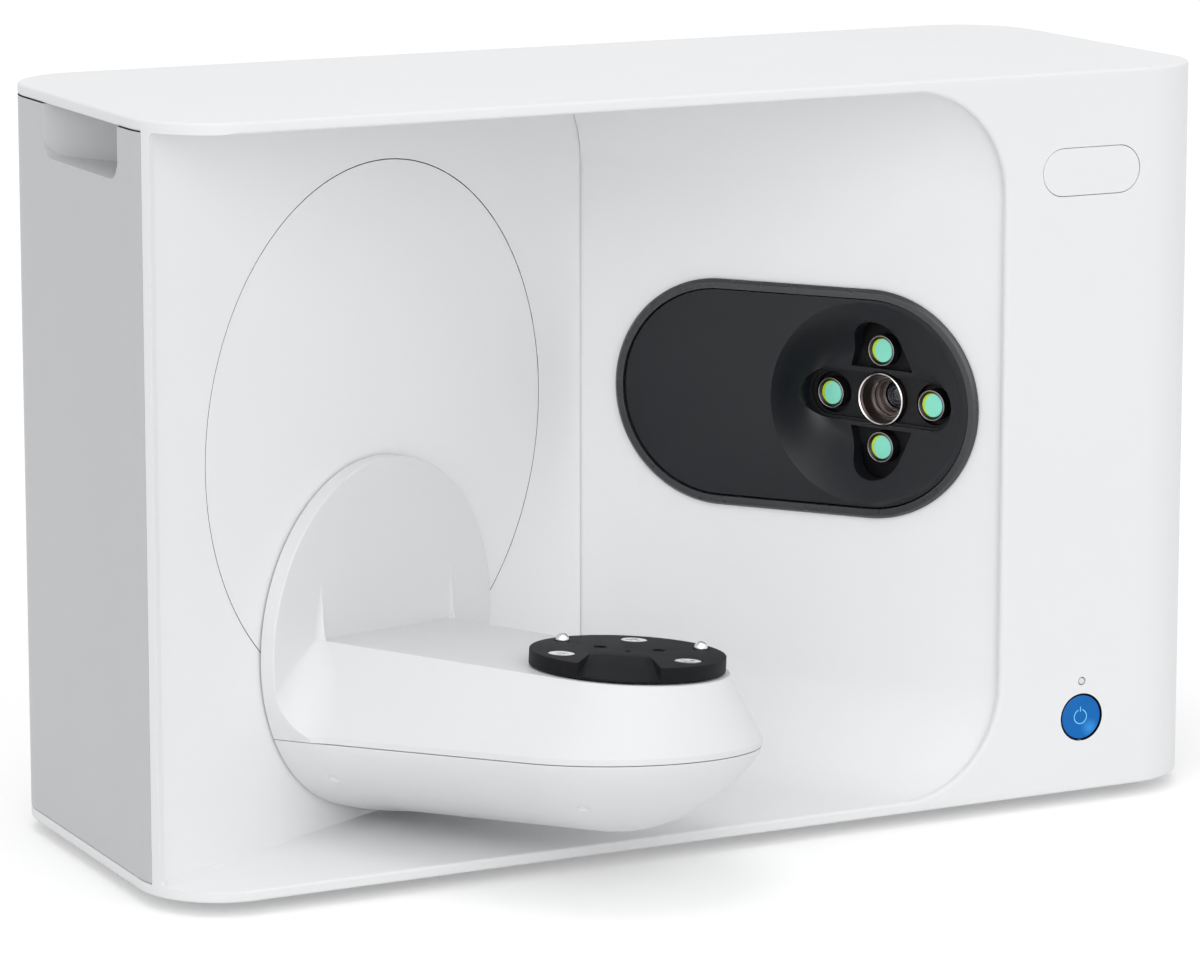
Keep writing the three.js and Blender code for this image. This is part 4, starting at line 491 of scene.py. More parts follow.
left_wall = cut(block(-600, corner_distance - 0.6, 0, skin, -400, 400),
                facing(circle(disc_radius, 180), -20, 20))
left_wall = shared(placed(left_wall, to_body @ wall_place), inside)
dark_gap(piece("left_wall", left_wall, body_place, lit_chamber_white, ["chamber_left_wall"], 0.0002))
right_place = Matrix.Translation((back_x, back_y, 0)) @ Matrix.Rotation(right_turn, 4, "Z")
left_place = Matrix.Translation((back_x, back_y, 0)) @ Matrix.Rotation(left_turn, 4, "Z")
head_place = right_place @ Matrix.Translation((106.5, 0, 174.5))
head_span, head_opening = 36.5, 49.4
right_wall = cut(placed(block(-skin, 700, -mouth_radius, skin, 0, 400), right_place),
                 loft([room_ring(back_x + (back_y - y) / right_slope - mouth_radius, mouth_radius, 0.02, y)
                       for y in (-200, 200)]),
                 placed(block(-700, -0.3, -0.3, 700, -50, 500), left_place),
                 placed(facing(stadium(head_span, head_opening), -30, 30), head_place))
right_wall = shared(right_wall, inside)
piece("right_wall", right_wall, body_place, lit_chamber_white, ["chamber_right_wall"], 0.0003)


# The swing disc is a flat moulded plate that turns flush in the left wall with a hairline gap. The arm is
# bolted to it, so that the arm seems to grow out of the wall.
def turned(profile, steps=96):
    """A form turned about the Y axis from radius and depth; one that misses the axis closes in a ring."""
    form = bmesh.new()
    rings = []
    for radius, y in profile:
        if radius == 0:
            rings.append([form.verts.new((0, y, 0))] * steps)
        else:
            rings.append([form.verts.new((radius * a, y, radius * b)) for a, b in circle(1, steps)])
    if profile[0][0] > 0:
        rings.append(rings[0])
    for first, second in zip(rings, rings[1:]):
        for i in range(steps):
            corners = list(dict.fromkeys((first[i - 1], first[i], second[i], second[i - 1])))
            if len(corners) > 2:
                form.faces.new(corners)
    return mesh_of(form)


def eased(points, amount, steps=4):
    """The line with each of its corners rounded over a short length."""
    made = [Vector(points[0])]
    for before, corner, after in zip(points, points[1:], points[2:]):
        corner = Vector(corner)
        back, ahead = Vector(before) - corner, Vector(after) - corner
        start = corner + back.normalized() * min(amount, 0.48 * back.length)
        end = corner + ahead.normalized() * min(amount, 0.48 * ahead.length)
        for step in range(steps + 1):
            share = step / steps
            made.append(start * (1 - share) ** 2 + corner * 2 * share * (1 - share) + end * share ** 2)
    return [tuple(point) for point in made + [Vector(points[-1])]]


disc = turned(eased([(0, 0), (disc_radius - 0.35, 0), (disc_radius - 0.35, 4), (0, 4)], 0.2), 180)
dark_gap(piece("swing_disc_cover", disc, wall_place, lit_chamber_white, ["swing_disc"], body="swing_arm"))

# The swing arm's upper shell: a thin-walled moulding whose sloping sides sweep into the round flange with a
# fillet that widens from 4 mm at the top to 22 mm at the lip. It is sprayed a little smoother than the box.
arm_place = wall_place @ Matrix.Rotation(radians(4.6), 4, "Y")
arm_white = sprayed_white("arm white", (0.8, 0.806, 0.816), 0.36)
flange_radius, flange_drop, flange_front, flange_back = 77, 88, 8, 1
arm_top, nose_top, nose_lip, top_radius, lip_radius = -86.5, 136.2, 130.2, 43.4, 63.36
lip_start, lip_height = sqrt(flange_radius ** 2 - 40.2 ** 2), 2.7
root_half, top_fillet, lip_fillet = 46, 4, 22
arm_wall, softness = 2.6, 0.9


def between(first, second, share):
    return first + (second - first) * share


def split_level(reach):
    return -128.2 + 0.065 * reach


def side_half(reach, level):
    top = between(root_half, top_radius, (reach - flange_front) / (nose_top - flange_front))
    lip = between(lip_start, lip_radius, (reach - flange_front) / (nose_lip - flange_front))
    return between(top, lip, level)


def circle_half(level, radius=flange_radius):
    return sqrt(max(radius ** 2 - (level + flange_drop) ** 2, 0))


def blend_curve(before, corner, after, steps=5):
    return [before * (1 - share) ** 2 + corner * 2 * share * (1 - share) + after * share ** 2
            for share in (step / steps for step in range(steps + 1))]


def half_outline(level, inset, end, tip_steps, side_steps):
    """Half width and reach along one side of the arm, from its tip back to the given reach."""
    centre, radius = between(nose_top, nose_lip, level), between(top_radius, lip_radius, level) - inset
    tip = [(radius * sin(turn), centre + radius * cos(turn))
           for turn in (pi / 2 * step / tip_steps for step in range(tip_steps + 1))]
    reaches = [between(centre, end, step / side_steps) for step in range(1, side_steps + 1)]
    return tip + [(side_half(reach, level) - inset, reach) for reach in reaches]


def shell_row(level, below=0.0, inset=0.0):
    """One level of the upper shell, from its tip round the fillet to the flange's back."""
    fillet = between(top_fillet, lip_fillet, 1 - (1 - level) ** 2.5) + inset

    def at(half, reach):
        return Vector((half, -reach, between(arm_top, lip_height + split_level(reach), level) - below))

    def on_fillet(turn):
        reach = flange_front + fillet * (1 - cos(turn))
        return at(side_half(reach, level) - inset + fillet * (1 - sin(turn)), reach)

    def past_circle(point):
        return point.x > circle_half(point.z)

    def on_band(reach):
        point = at(0, reach)
        return Vector((circle_half(point.z), point.y, point.z))

    points = [at(*spot) for spot in half_outline(level, inset, flange_front + fillet, 40, 12)[:-1]]
    start = on_fillet(0)
    if past_circle(start):
        low, high = 0, pi / 2
        for _ in range(40):
            middle = (low + high) / 2
            low, high = (middle, high) if past_circle(on_fillet(middle)) else (low, middle)
        corner, end = on_fillet(high), min(high + softness / fillet, (high + pi / 2) / 2)
        points += [on_fillet(between(pi / 2, end, step / 18)) for step in range(19)]
        before = points[-1]
        points += [before] * 4
    else:
        points += [on_fillet(between(pi / 2, 0, step / 18)) for step in range(19)]
        corner = at(circle_half(start.z), flange_front)
        before = corner + (start - corner) * min(softness / max((start - corner).length, 0.001), 0.5)
        points += [start.lerp(before, step / 4) for step in range(1, 5)]
    back = -corner.y - softness
    points += blend_curve(before, corner, on_band(back))[1:]
    return points + [on_band(between(back, flange_back, step / 6)) for step in range(1, 7)]


def row_blend(before, corner, after):
    return [list(row) for row in zip(*(blend_curve(*three) for three in zip(before, corner, after)))]


def flange_ray(angle):
    """A line on the flange's face from the middle of the arm's top edge out to the rim and over it."""
    rise = arm_top + flange_drop
    along = -rise * sin(angle) + sqrt(flange_radius ** 2 - (rise * cos(angle)) ** 2)
    first = sqrt(flange_radius ** 2 - rise ** 2)
    start = 50 * along / first

    def at(distance, reach):
        return Vector((distance * cos(angle), -reach, arm_top + distance * sin(angle)))

    points = [at(start * step / 6, flange_front) for step in range(7)]
    before = at(along - softness, flange_front)
    points += [points[-1].lerp(before, step / 4) for step in range(1, 5)]
    points += blend_curve(before, at(along, flange_front), at(along, flange_front - softness))[1:]
    return points + [at(along, between(flange_front - softness, flange_back, step / 6))
                     for step in range(1, 7)]


def grid(form, rows):
    """Quads between neighbouring lines of points."""
    made = [[form.verts.new(point) for point in row] for row in rows]
    for first, second in zip(made, made[1:]):
        for i in range(1, len(first)):
            form.faces.new((first[i - 1], first[i], second[i], second[i - 1]))


def flat_face(form, points):
    kept = [point for point, last in zip(points, points[-1:] + points[:-1]) if (point - last).length > 0.0005]
    form.faces.new([form.verts.new(point) for point in kept])


def mirrored(points):
    return [Vector((-point.x, point.y, point.z)) for point in points]


rows = row_blend(shell_row(0, 0, 0.5), shell_row(0), shell_row(0.014))
rows += [shell_row(0.014 + 0.973 * step / 32) for step in range(1, 33)]
rows += row_blend(shell_row(0.99), shell_row(1), shell_row(1, 0.35))
rows += row_blend(shell_row(1, lip_height - 0.3), shell_row(1, lip_height), shell_row(1, lip_height, 0.4))
rays = [flange_ray(pi * step / 90) for step in range(91)]
form = bmesh.new()
for half_rows in (rows, [mirrored(row) for row in rows], rays):
    grid(form, half_rows)
top_edge = rows[0][:71]
flat_face(form, mirrored(top_edge) + rays[-1][5::-1] + rays[0][1:6] + top_edge[::-1])
flat_face(form, mirrored(rows[-1]) + rows[-1][::-1])
back_edge = [row[-1] for row in rows[::-1]] + [ray[-1] for ray in rays]
flat_face(form, back_edge + mirrored([row[-1] for row in rows]))
upper = mesh_of(form)


def hollow_ring(level, lift):
    """The shell's inside at one level, clear of the flange."""
    points = []
    for half, reach in half_outline(level, arm_wall, flange_front, 20, 10):
        z = between(arm_top - arm_wall, lip_height + split_level(reach), level) - lift
        points.append(Vector((min(half, circle_half(z, flange_radius - arm_wall)), -reach, z)))
    return points[:0:-1] + mirrored(points)


upper = cut(upper, loft([hollow_ring(level, 0) for level in (0, 0.25, 0.5, 0.75, 1)] + [hollow_ring(1, 9)]),
            placed(upright(circle(15), -110, -70), Matrix.Translation((0, -nose_top, 0))))
piece("arm_top_shell", upper, arm_place, arm_white, ["arm_upper_shell"], body="swing_arm")


def corner_web(side):
    """The thin web that carries the arm's top edge up the flange: it thins out over its height."""
    sections = []
    for step in range(25):
        share = step / 24
        depth, turn = top_fillet * (1 - sqrt(share)), asin(sqrt(1 - share))
        section = [(root_half + top_fillet * (sin(turn) - sin(t)), flange_front + top_fillet * (1 - cos(t)))
                   for t in (turn * k / 10 for k in range(11))]
        section = [(section[0][0], flange_front - 0.6), *section,
                   (root_half - 0.3, flange_front + 0.85 * depth), (root_half - 0.4, flange_front - 0.6)]
        level = arm_top - 0.05 + 25 * share
        sections.append([Vector((side * half, -reach, level)) for half, reach in section])
    return loft(sections)


for side, name in both_sides:
    piece(name + "_corner_web", corner_web(side), arm_place, arm_white, body="swing_arm", sharp=50)

# The arm's lower shell is a bowl that closes the upper one along a hairline joint. Four small dimples mark
# where its screws go up into the arm.
belly_depth, joint_gap, dimple_radius, dimple_lift = 36.8, 0.3, 3.1, 1.3
screw_spots = [(53.4, 24.8), (41.8, 146.8)]


def bowl_section(reach, inset=0.0):
    """Half width, depth and roundness of the bowl at one reach."""
    radius = lip_radius - inset
    narrowing = sqrt(max(1 - (max(reach - nose_lip, 0) / radius) ** 2, 0))
    half = radius * narrowing if reach > nose_lip else side_half(reach, 1) - inset
    return half, (belly_depth - inset) * narrowing ** 1.4, between(1.62, 1.5, min(reach / nose_lip, 1))


def bowl_line(reach, inset=0.0, steps=72):
    half, depth, power = bowl_section(reach, inset)
    base = split_level(reach) - joint_gap
    first = asin(min((-base - flange_drop) / (flange_radius - inset), 1))
    share = min(max((reach - flange_front) / 26, 0), 1)
    share = share * share * (3 - 2 * share)
    points = []
    for step in range(steps + 1):
        angle = pi * step / steps
        bend = between(first, pi - first, step / steps)
        x = abs(cos(angle)) ** (2 / power) * (1 if cos(angle) > 0 else -1) * half
        z = base - depth * max(sin(angle), 0) ** (2 / power)
        ring = ((flange_radius - inset) * cos(bend), -flange_drop - (flange_radius - inset) * sin(bend))
        points.append(Vector((between(ring[0], x, share), -reach, between(ring[1], z, share))))
    return points


def bowl_row(reach):
    """The bowl at one reach, its upper edges rounded towards the joint."""
    points = bowl_line(reach)
    half = points[0].x
    for end in (0, -1):
        points[end].z = split_level(reach) - joint_gap
    lip_half = half * max(1 - 0.5 / max(half, 0.6), 0.2)
    lip = [Vector((side * lip_half, -reach, points[0].z)) for side in (1, -1)]
    sides = []
    for edge, corner, after in ((lip[0], points[0], points[1]), (lip[1], points[-1], points[-2])):
        ahead = after - corner
        sides.append(blend_curve(edge, corner, corner + ahead * min(0.45 / max(ahead.length, 0.01), 0.8), 4))
    return sides[0] + points[1:-1] + sides[1][::-1]


def reaches_along(steps, tip_steps, tip_reach):
    """Reaches from the flange to the arm's tip, closer together near the tip's end."""
    return ([between(flange_front, nose_lip, step / steps) for step in range(1, steps + 1)]
            + [nose_lip + tip_reach * sin(pi / 2 * step / tip_steps) for step in range(1, tip_steps)])


rows = [bowl_row(reach) for reach in [1, 3, 5.5, flange_front] + reaches_along(40, 44, lip_radius)]
tip = Vector((0, 0.02 - nose_lip - lip_radius, split_level(nose_lip + lip_radius) - joint_gap))
rows.append([tip] * len(rows[0]))
form = bmesh.new()
grid(form, rows)
flat_face(form, rows[0])
flat_face(form, [row[0] for row in rows] + [row[-1] for row in rows[-2::-1]])
bowl = mesh_of(form)
hollow = []
for reach in [flange_front] + reaches_along(12, 14, lip_radius - arm_wall):
    line = bowl_line(reach, arm_wall, 40)
    raised = [Vector((end.x, -reach, end.z + 9)) for end in (line[0], line[-1])]
    hollow.append([raised[0]] + line + [raised[1]])
bowl = cut(bowl, loft(hollow))
ball = [(dimple_radius * sin(pi * step / 32) if 0 < step < 32 else 0, -dimple_radius * cos(pi * step / 32))
        for step in range(33)]
for side, _ in both_sides:
    for across, reach in screw_spots:
        half, depth, power = bowl_section(reach)
        share = across / half
        down = (1 - share ** power) ** (1 / power)
        lean = Vector((side * share ** (power - 1) / half, 0, -down ** (power - 1) / depth)).normalized()
        foot = split_level(reach) - joint_gap - depth * down
        spot = Vector((side * across, -reach, foot)) + lean * dimple_lift
        bowl = cut(bowl, placed(turned(ball, 48), Matrix.Translation(spot)))
piece("arm_bowl", bowl, arm_place, arm_white, ["arm_lower_shell"], body="swing_arm")


# The turntable is a black anodised plate on the arm's end. It has a ramped notch for the operator's thumb,
# three nickel-plated magnets and two steel balls that locate the model holder, and two screws and a pin at
# its middle.
table_black = dark_plastic("anodised black", (0.0065, 0.0068, 0.0085), 0.55, 0.0005, 0.12)
table_top_sheen = dark_plastic("paler black, painted sheen", (0.0125, 0.013, 0.016), 0.6, 0.0004, 0.15)
table_radius, table_depth, notch_start = 41.5, 6.5, 12.3
magnet_ring, magnet_hole, magnet_radius = 30.6, 6.1, 5.8
ball_ring, ball_radius, screw_ring = 34, 2.9, 14.3
table_place = arm_place @ Matrix.Translation((0, -nose_top, -79.3))
on_end = Matrix.Rotation(pi / 2, 4, "X")


def round_spot(ring, degrees):
    return Matrix.Translation((ring * cos(radians(degrees)), ring * sin(radians(degrees)), 0))


plate = turned(eased([(0, -table_depth), (table_radius, -table_depth), (table_radius, 0), (0, 0)], 0.55), 144)
notch = upright([(notch_start, -15), (table_radius, -18), (70, -18), (70, 18), (table_radius, 18),
                 (notch_start, 10.8)], -20, 20)
ramp = facing([(notch_start, 0), (70.7, -11.6), (70.7, 20), (notch_start, 20)], -table_radius, table_radius)
plate = cut(placed(plate, on_end), placed(shared(notch, ramp), Matrix.Rotation(radians(-150), 4, "Z")))
magnet_spots = {"front_magnet": -90, "left_magnet": 150, "right_magnet": 30}
ball_spots = {"right_locating_ball": -30, "rear_locating_ball": 90}
for degrees in magnet_spots.values():
    plate = cut(plate, placed(upright(circle(magnet_hole), -3.3, 9), round_spot(magnet_ring, degrees)))
for degrees in ball_spots.values():
    plate = cut(plate, placed(upright(circle(3.3, 64), -2.9, 9), round_spot(ball_ring, degrees)),
                placed(upright(circle(2.9, 64), -2.2, 9), round_spot(screw_ring, degrees)))
plate = cut(plate, upright(circle(1.3, 40), -2.2, 9))
table = piece("table_plate", plate, table_place, table_black, ["turntable_plate"], 0.0002, body="turntable")
# The plate's upward top faces get a paler, rougher black: the paler tone is a painted sheen for the grazing
# reflection off them.
repaint(table, table_top_sheen, table_place, lambda spot, normal: normal.z > 0.985 and spot.z > -0.1)


def flat_map(mesh, radius):
    """A map of the piece as seen from the front, 1 at the given radius."""
    layer = mesh.uv_layers.new(name="front")
    for loop in mesh.loops:
        point = mesh.vertices[loop.vertex_index].co
        layer.data[loop.index].uv = (point.x / radius, point.z / radius)
    return mesh


def front_map(finish):
    """Across, up and the distance from the middle in the piece's own map of its front."""
    spot = finish.node("ShaderNodeUVMap")
    across = finish.node("ShaderNodeSeparateXYZ", sockets={0: spot})
    up = Value(finish, across.socket.node.outputs["Y"])
    return across, up, finish.node("ShaderNodeVectorMath", {"operation": "LENGTH"}, {0: spot}, "Value")


def plated_nickel():
    """Nickel plate with the smudges and small dark marks that a magnet picks up. Its rounded rim is painted
    near white against a darker grey face: a painted highlight.
    """
    finish = Finish("plated nickel")
    from_rim = 1.0 - front_map(finish)[2]
    marks = (finish.noise(0.0026, 3.0) > 0.56) * (from_rim > 0.35)
    # The rounded rim is painted near white and the face a darker grey: a painted highlight on the rim.
    painted_rim_highlight = finish.blend(from_rim < 0.08, (0.97, 0.97, 0.96), (0.30, 0.30, 0.31))
    return finish.surface(finish.blend(marks, painted_rim_highlight, (0.25, 0.25, 0.26)), 0.14 + 0.3 * marks,
                          finish.noise(0.0012, 3.0), 0.00003, Metallic=0.85)


nickel = plated_nickel()
magnet_line = eased([(0, -3), (magnet_radius, -3), (magnet_radius, -0.1), (5.2, 0.05), (3, 0.05), (0, 0.05)],
                    0.3)
for node, degrees in magnet_spots.items():
    spot = table_place @ round_spot(magnet_ring, degrees) @ on_end
    magnet = flat_map(turned(magnet_line), magnet_radius)
    piece(node.replace("magnet", "magnet_disc"), magnet, spot, nickel, [node], body="turntable")
ball_line = [(0, -2.6), (1.0, -2.6)] + [
    (ball_radius * sin(pi * step / 40), 0.4 - ball_radius * cos(pi * step / 40)) for step in range(6, 40)]
ball_line.append((0, 0.4 + ball_radius))
for node, degrees in ball_spots.items():
    spot = table_place @ round_spot(ball_ring, degrees) @ on_end
    piece(node.replace("ball", "ball_steel"), turned(ball_line), spot, steel, [node], body="turntable",
          sharp=60)
screw_points = [round_spot(screw_ring, degrees) @ Vector((0, 0, -2.1)) for degrees in ball_spots.values()]
table_screws = cross_head_screws(screw_points, steel, 2.5, 1.0, 0.7)
piece("table_screws", table_screws, table_place, steel, body="turntable")
pin = turned(eased([(0, -2.1), (0.9, -2.1), (0.9, -0.7), (0, -0.5)], 0.2), 40)
piece("table_centre_pin", pin, table_place @ on_end, steel, body="turntable")

# The scan head's face is one dark moulding: a flat oval with a smooth deep dish at its right, in which a
# stepped tray and two pockets hold the optics. A bevelled satin ring frames it in the wall.
head_place = body_place @ head_place
face_radius, face_front, dish_radius = 46.8, -1.2, 45.6
optics_place = head_place @ Matrix.Translation((head_span, 13, 0)) @ Matrix.Rotation(radians(-11.7), 4, "Z")
in_optics = head_place.inverted() @ optics_place
bezel_black = dark_plastic("bezel black", (0.02, 0.021, 0.025), 0.24, 0.0004, 0.75)
face_grey = dark_plastic("face grey", (0.0055, 0.0062, 0.009), 0.3, 0.0006, 0.42)
tray_black = dark_plastic("tray black", (0.0075, 0.0078, 0.009), 0.45, 0.0006, 0.3)
well_black_and_shade = dark_plastic("well black and painted shade", (0.004, 0.004, 0.005), 0.5, 0.0006, 0.25)


def oval_rings(profile, half_span=head_span, steps=64):
    return [[(x, y, z) for x, z in stadium(half_span, radius, steps)] for radius, y in profile]


bezel = loft(oval_rings(eased([(47.7, -2.8), (50.4, -2.8), (51.8, -1.4), (51.8, -0.3), (50.3, -0.3)], 0.35)
                        + [(49.1, -0.3), (49.1, 9)]))
bezel = cut(bezel, facing(stadium(head_span, 47.5, 64), -30, 30))
piece("head_bezel", bezel, head_place, bezel_black, ["scan_head_bezel"], 0.00025)


def dish_ring(radius, y, in_tilt, squeeze=1.0):
    points = [Vector((radius * a, y, radius * squeeze * b)) for a, b in circle(1, 128)]
    if in_tilt:
        return [in_optics @ point for point in points]
    return [point + Vector((34.2, 0, 0)) for point in points]


def dish(wall):
    """The dish as a solid: a smooth bowl through the rim, the bend and the floor."""
    rim = dish_ring(dish_radius + wall, wall + face_front, False)
    bend, floor, deep = (dish_ring(radius + wall, y + wall, True, squeeze)
                         for radius, y, squeeze in ((37.5, -3, 0.72), (30, 0, 0.52), (14, 0, 0.5)))
    outside = [point * 2 - other for point, other in zip(rim, bend)]
    rings = [dish_ring(dish_radius + wall, face_front if wall else -30, False)]
    for first, second, third, fourth in ((outside, rim, bend, floor), (rim, bend, floor, deep)):
        for step in range(12):
            t = step / 12
            rings.append([(b * 2 + (c - a) * t + (a * 2 - b * 5 + c * 4 - d) * t ** 2
                           + (b * 3 - a - c * 3 + d) * t ** 3) / 2
                          for a, b, c, d in zip(first, second, third, fourth)])
    return loft(rings + [floor])


def well(outline, depth):
    return placed(facing(outline, -40, depth), in_optics)


oval = stadium(head_span, face_radius, 64)
face = joined(facing(oval, face_front, 2.8), shared(dish(5), facing(oval, face_front, 200)))
pocket = [(16.4, 13.6)] + arc((0, 23.4), 12.6, 12, 168, 28) + [(-16.4, 13.6)]
wells = [(stadium(28, 11.5), 0.7), (stadium(28, 10.2), 2.2), (pocket, 4.4),
         ([(-x, -z) for x, z in pocket], 4.4), (circle(12.45), 60)]
wells += [([(x, z + rise) for x, z in circle(7.35, 64)], 60) for rise in (22, -22)]
wells += [([(x + side, z) for x, z in circle(9.4, 72)], 60) for side in (27, -27)]
face = cut(face, dish(0), *(well(outline, depth) for outline, depth in wells))
head_face = piece("head_face", face, head_place, face_grey, ["scan_head_face"], 0.00022)
repaint(head_face, tray_black, optics_place, lambda spot, normal: spot.y > 0.45)
# The pockets' deep faces get a darker black: painted shade in the recesses.
repaint(head_face, well_black_and_shade, optics_place, lambda spot, normal: spot.y > 2.3)

# The four cameras are black barrels that stand up through the face, each with a thin bright trim ring and a
# band-pass filter of coated glass: mint green head on, with a yellow edge where the coating is seen
# through.
barrel_black = dark_plastic("barrel black", (0.006, 0.006, 0.007), 0.3, 0.0004, 0.5)
trim_silver = turned_metal("trim silver", (0.50, 0.44, 0.45), 0.22)


def coated_filter():
    """Coated glass, with a yellow crescent where its edge is seen through and a cool one at the right."""
    finish = Finish("coated filter glass")
    across, up, _ = front_map(finish)

    def beyond(radius, x, y):
        away = ((across - x) * (across - x) + (up - y) * (up - y)).math("SQRT")
        return ((away - radius) * 9.0).math("MINIMUM", 1.0).math("MAXIMUM", 0.0)

    warm, cool = beyond(0.97, 0.34, -0.05), beyond(1.0, -0.12, -0.02)
    mint = finish.blend(finish.noise(0.003), (0.28, 0.90, 0.68), (0.32, 0.94, 0.73))
    green = finish.blend(warm, mint, (0.56, 0.80, 0.04))
    return finish.surface(finish.blend(cool, green, (0.30, 0.72, 0.80)), 0.05 + 0.03 * finish.noise(0.002),
                          Specular_IOR_Level=0.5)


filter_glass = coated_filter()
barrel_line = [(0, 11.8), (6.9, 11.8), *eased(
    [(6.9, 11), (6.9, -0.6), (6.35, -0.6), (5.55, 0.5), (5.55, 1.5), (5.0, 1.5)], 0.12), (0, 1.5)]
trim_line = eased([(6.62, -0.72), (6.85, -0.66), (6.88, -0.4), (6.5, -0.4), (6.42, -0.66), (6.62, -0.72)],
                  0.05)
glass_line = eased([(0, 0.05), (3, 0.08), (5.2, 0.2), (5.4, 0.45), (5.4, 1.3), (0, 1.3)], 0.1)
for name, x, z in (("left", -27, 0), ("right", 27, 0), ("upper", 0, 22), ("lower", 0, -22)):
    spot = optics_place @ Matrix.Translation((x, 0, z))
    barrel, trim, glass = (turned(line, 72) for line in (barrel_line, trim_line, glass_line))
    piece(name + "_camera_barrel", barrel, spot, barrel_black, [name + "_camera"])
    piece(name + "_camera_trim", trim, spot, trim_silver)
    piece(name + "_filter_glass", flat_map(glass, 5.4), spot, filter_glass, [name + "_filter"])

# The projector looks out between the cameras: a black barrel with a polished front ring, stepped baffles
# inside and a deep dark lens with a faint blue coating.
chrome = turned_metal("polished ring", (0.92, 0.90, 0.87), 0.08, 0.002)


def baffle_finish():
    """Burnished black inside the barrel, with a warm bronze cast where the oxide is thin."""
    finish = Finish("burnished baffle")
    warm = finish.noise(0.008, 3.0)
    return finish.surface(finish.blend(warm, (0.16, 0.115, 0.10), (0.06, 0.055, 0.06)),
                          0.24 + 0.12 * finish.noise(0.001), Metallic=0.9)


bore = [(11.7, 30), (11.7, -0.1), (11.0, -0.1), (10.5, 0.6), (9.6, 7.0), (8.9, 7.4), (8.9, 9.2), (7.6, 9.6),
        (7.4, 12.2), (6.5, 12.4), (6.4, 15), (0, 15)]
barrel = turned([(0, 30)] + eased(bore, 0.15), 96)
piece("projector_tube", barrel, optics_place, baffle_finish(), ["projector_barrel"])
ring_line = eased([(11.5, -1.3), (12, -1.0), (12, -0.3), (11, -0.3), (10.95, -0.9), (11.5, -1.3)], 0.2)
piece("projector_front_ring", turned(ring_line), optics_place, chrome, ["projector_ring"])
for number, (radius, depth) in enumerate(((8.75, 7.2), (7.35, 9.4), (6.3, 12.25)), 1):
    lip = turned(eased([(radius, depth), (radius + 0.45, depth + 0.05), (radius + 0.45, depth + 0.35),
                        (radius - 0.2, depth + 0.35), (radius, depth)], 0.05), 96)
    piece(f"projector_inner_ring_{number}", lip, optics_place, chrome)


def lens_finish():
    """Dark coated glass, with painted reflections of the rings of the elements behind it and a faint blue
    bloom.
    """
    finish = Finish("projector lens glass")
    away = front_map(finish)[2]
    # Paler rings painted into the glass's colour: painted reflections of the elements behind it.
    rings = ((away - 0.62).math("ABSOLUTE") < 0.05).math("MAXIMUM", (away - 0.34).math("ABSOLUTE") < 0.04)
    return finish.surface(finish.blend(rings, (0.010, 0.014, 0.028), (0.10, 0.11, 0.14)),
                          0.04 + 0.02 * finish.noise(0.002), Coat_Weight=1.0)


lens_radius = 6.05
dome = [(lens_radius * sin(pi / 2 * step / 16) if step else 0, 11.9 + 2.0 * (1 - cos(pi / 2 * step / 16)))
        for step in range(17)]
lens = flat_map(turned(dome + [(lens_radius, 14.6), (0, 14.6)], 96), lens_radius)
piece("projector_front_lens", lens, optics_place, lens_finish(), ["projector_lens"])


# The power button is a dished blue polycarbonate cap with a moulded power symbol, in a hole whose narrow
# gap is painted dark as shade. A milky light pipe above it shows the machine's state, and a bare
# pill-shaped insert sits near the top.
def button_finish():
    """Tinted plastic with a painted highlight, paler towards its lower right, a near-black rim of painted
    shade, and the pale power symbol let into the cap.
    """
    finish = Finish("button blue")
    across, up, away = front_map(finish)
    width = across.math("ABSOLUTE")
    ring = ((away - 3.2).math("ABSOLUTE") < 0.2) * (1 - (width < 1.0) * (up > 0.0))
    bar = (width < 0.2) * (up > 2.3) * (up < 4.6)
    symbol = ring.math("MAXIMUM", bar)
    # A paler patch towards the cap's lower right: a painted highlight.
    painted_highlight = 1.0 - 0.22 * ((across - 4.6) * (across - 4.6) + (up + 5.2) * (up + 5.2)).math("SQRT")
    tint = finish.blend(finish.noise(0.006), (0.0015, 0.125, 0.44), (0.002, 0.15, 0.50))
    tint = finish.blend(painted_highlight.math("MAXIMUM", 0.0) * 0.7, tint, (0.05, 0.36, 0.88))
    # The cap's rim is painted near black: painted shade in the gap round it.
    tint = finish.blend(away > 9.85, tint, (0.001, 0.006, 0.03))
    return finish.surface(finish.blend(symbol, tint, (0.24, 0.72, 1.0)), 0.3 + 0.1 * finish.noise(0.002),
                          finish.noise(0.0008, 3.0), 0.00003, Specular_IOR_Level=0.2)


cap = [(0, 0.9), (3, 0.84), (6, 0.64), (8, 0.38), (9.5, 0.1), (10.25, 0.6), (10.25, 3.3), (11.85, 3.3),
       (11.85, 4.8), (10.25, 4.8), (10.25, 8.3), (0, 8.3)]
button = flat_map(turned(eased(cap, 0.3), 96), 1.0)
piece("button_cap", button, body_place @ button_spot, button_finish(), ["power_button"], body="power_button")


def milky_plastic():
    finish = Finish("milky plastic")
    return finish.surface(finish.blend(finish.noise(0.002), (0.70, 0.71, 0.72), (0.76, 0.77, 0.78)),
                          0.3 + 0.1 * finish.noise(0.001), Specular_IOR_Level=0.4)


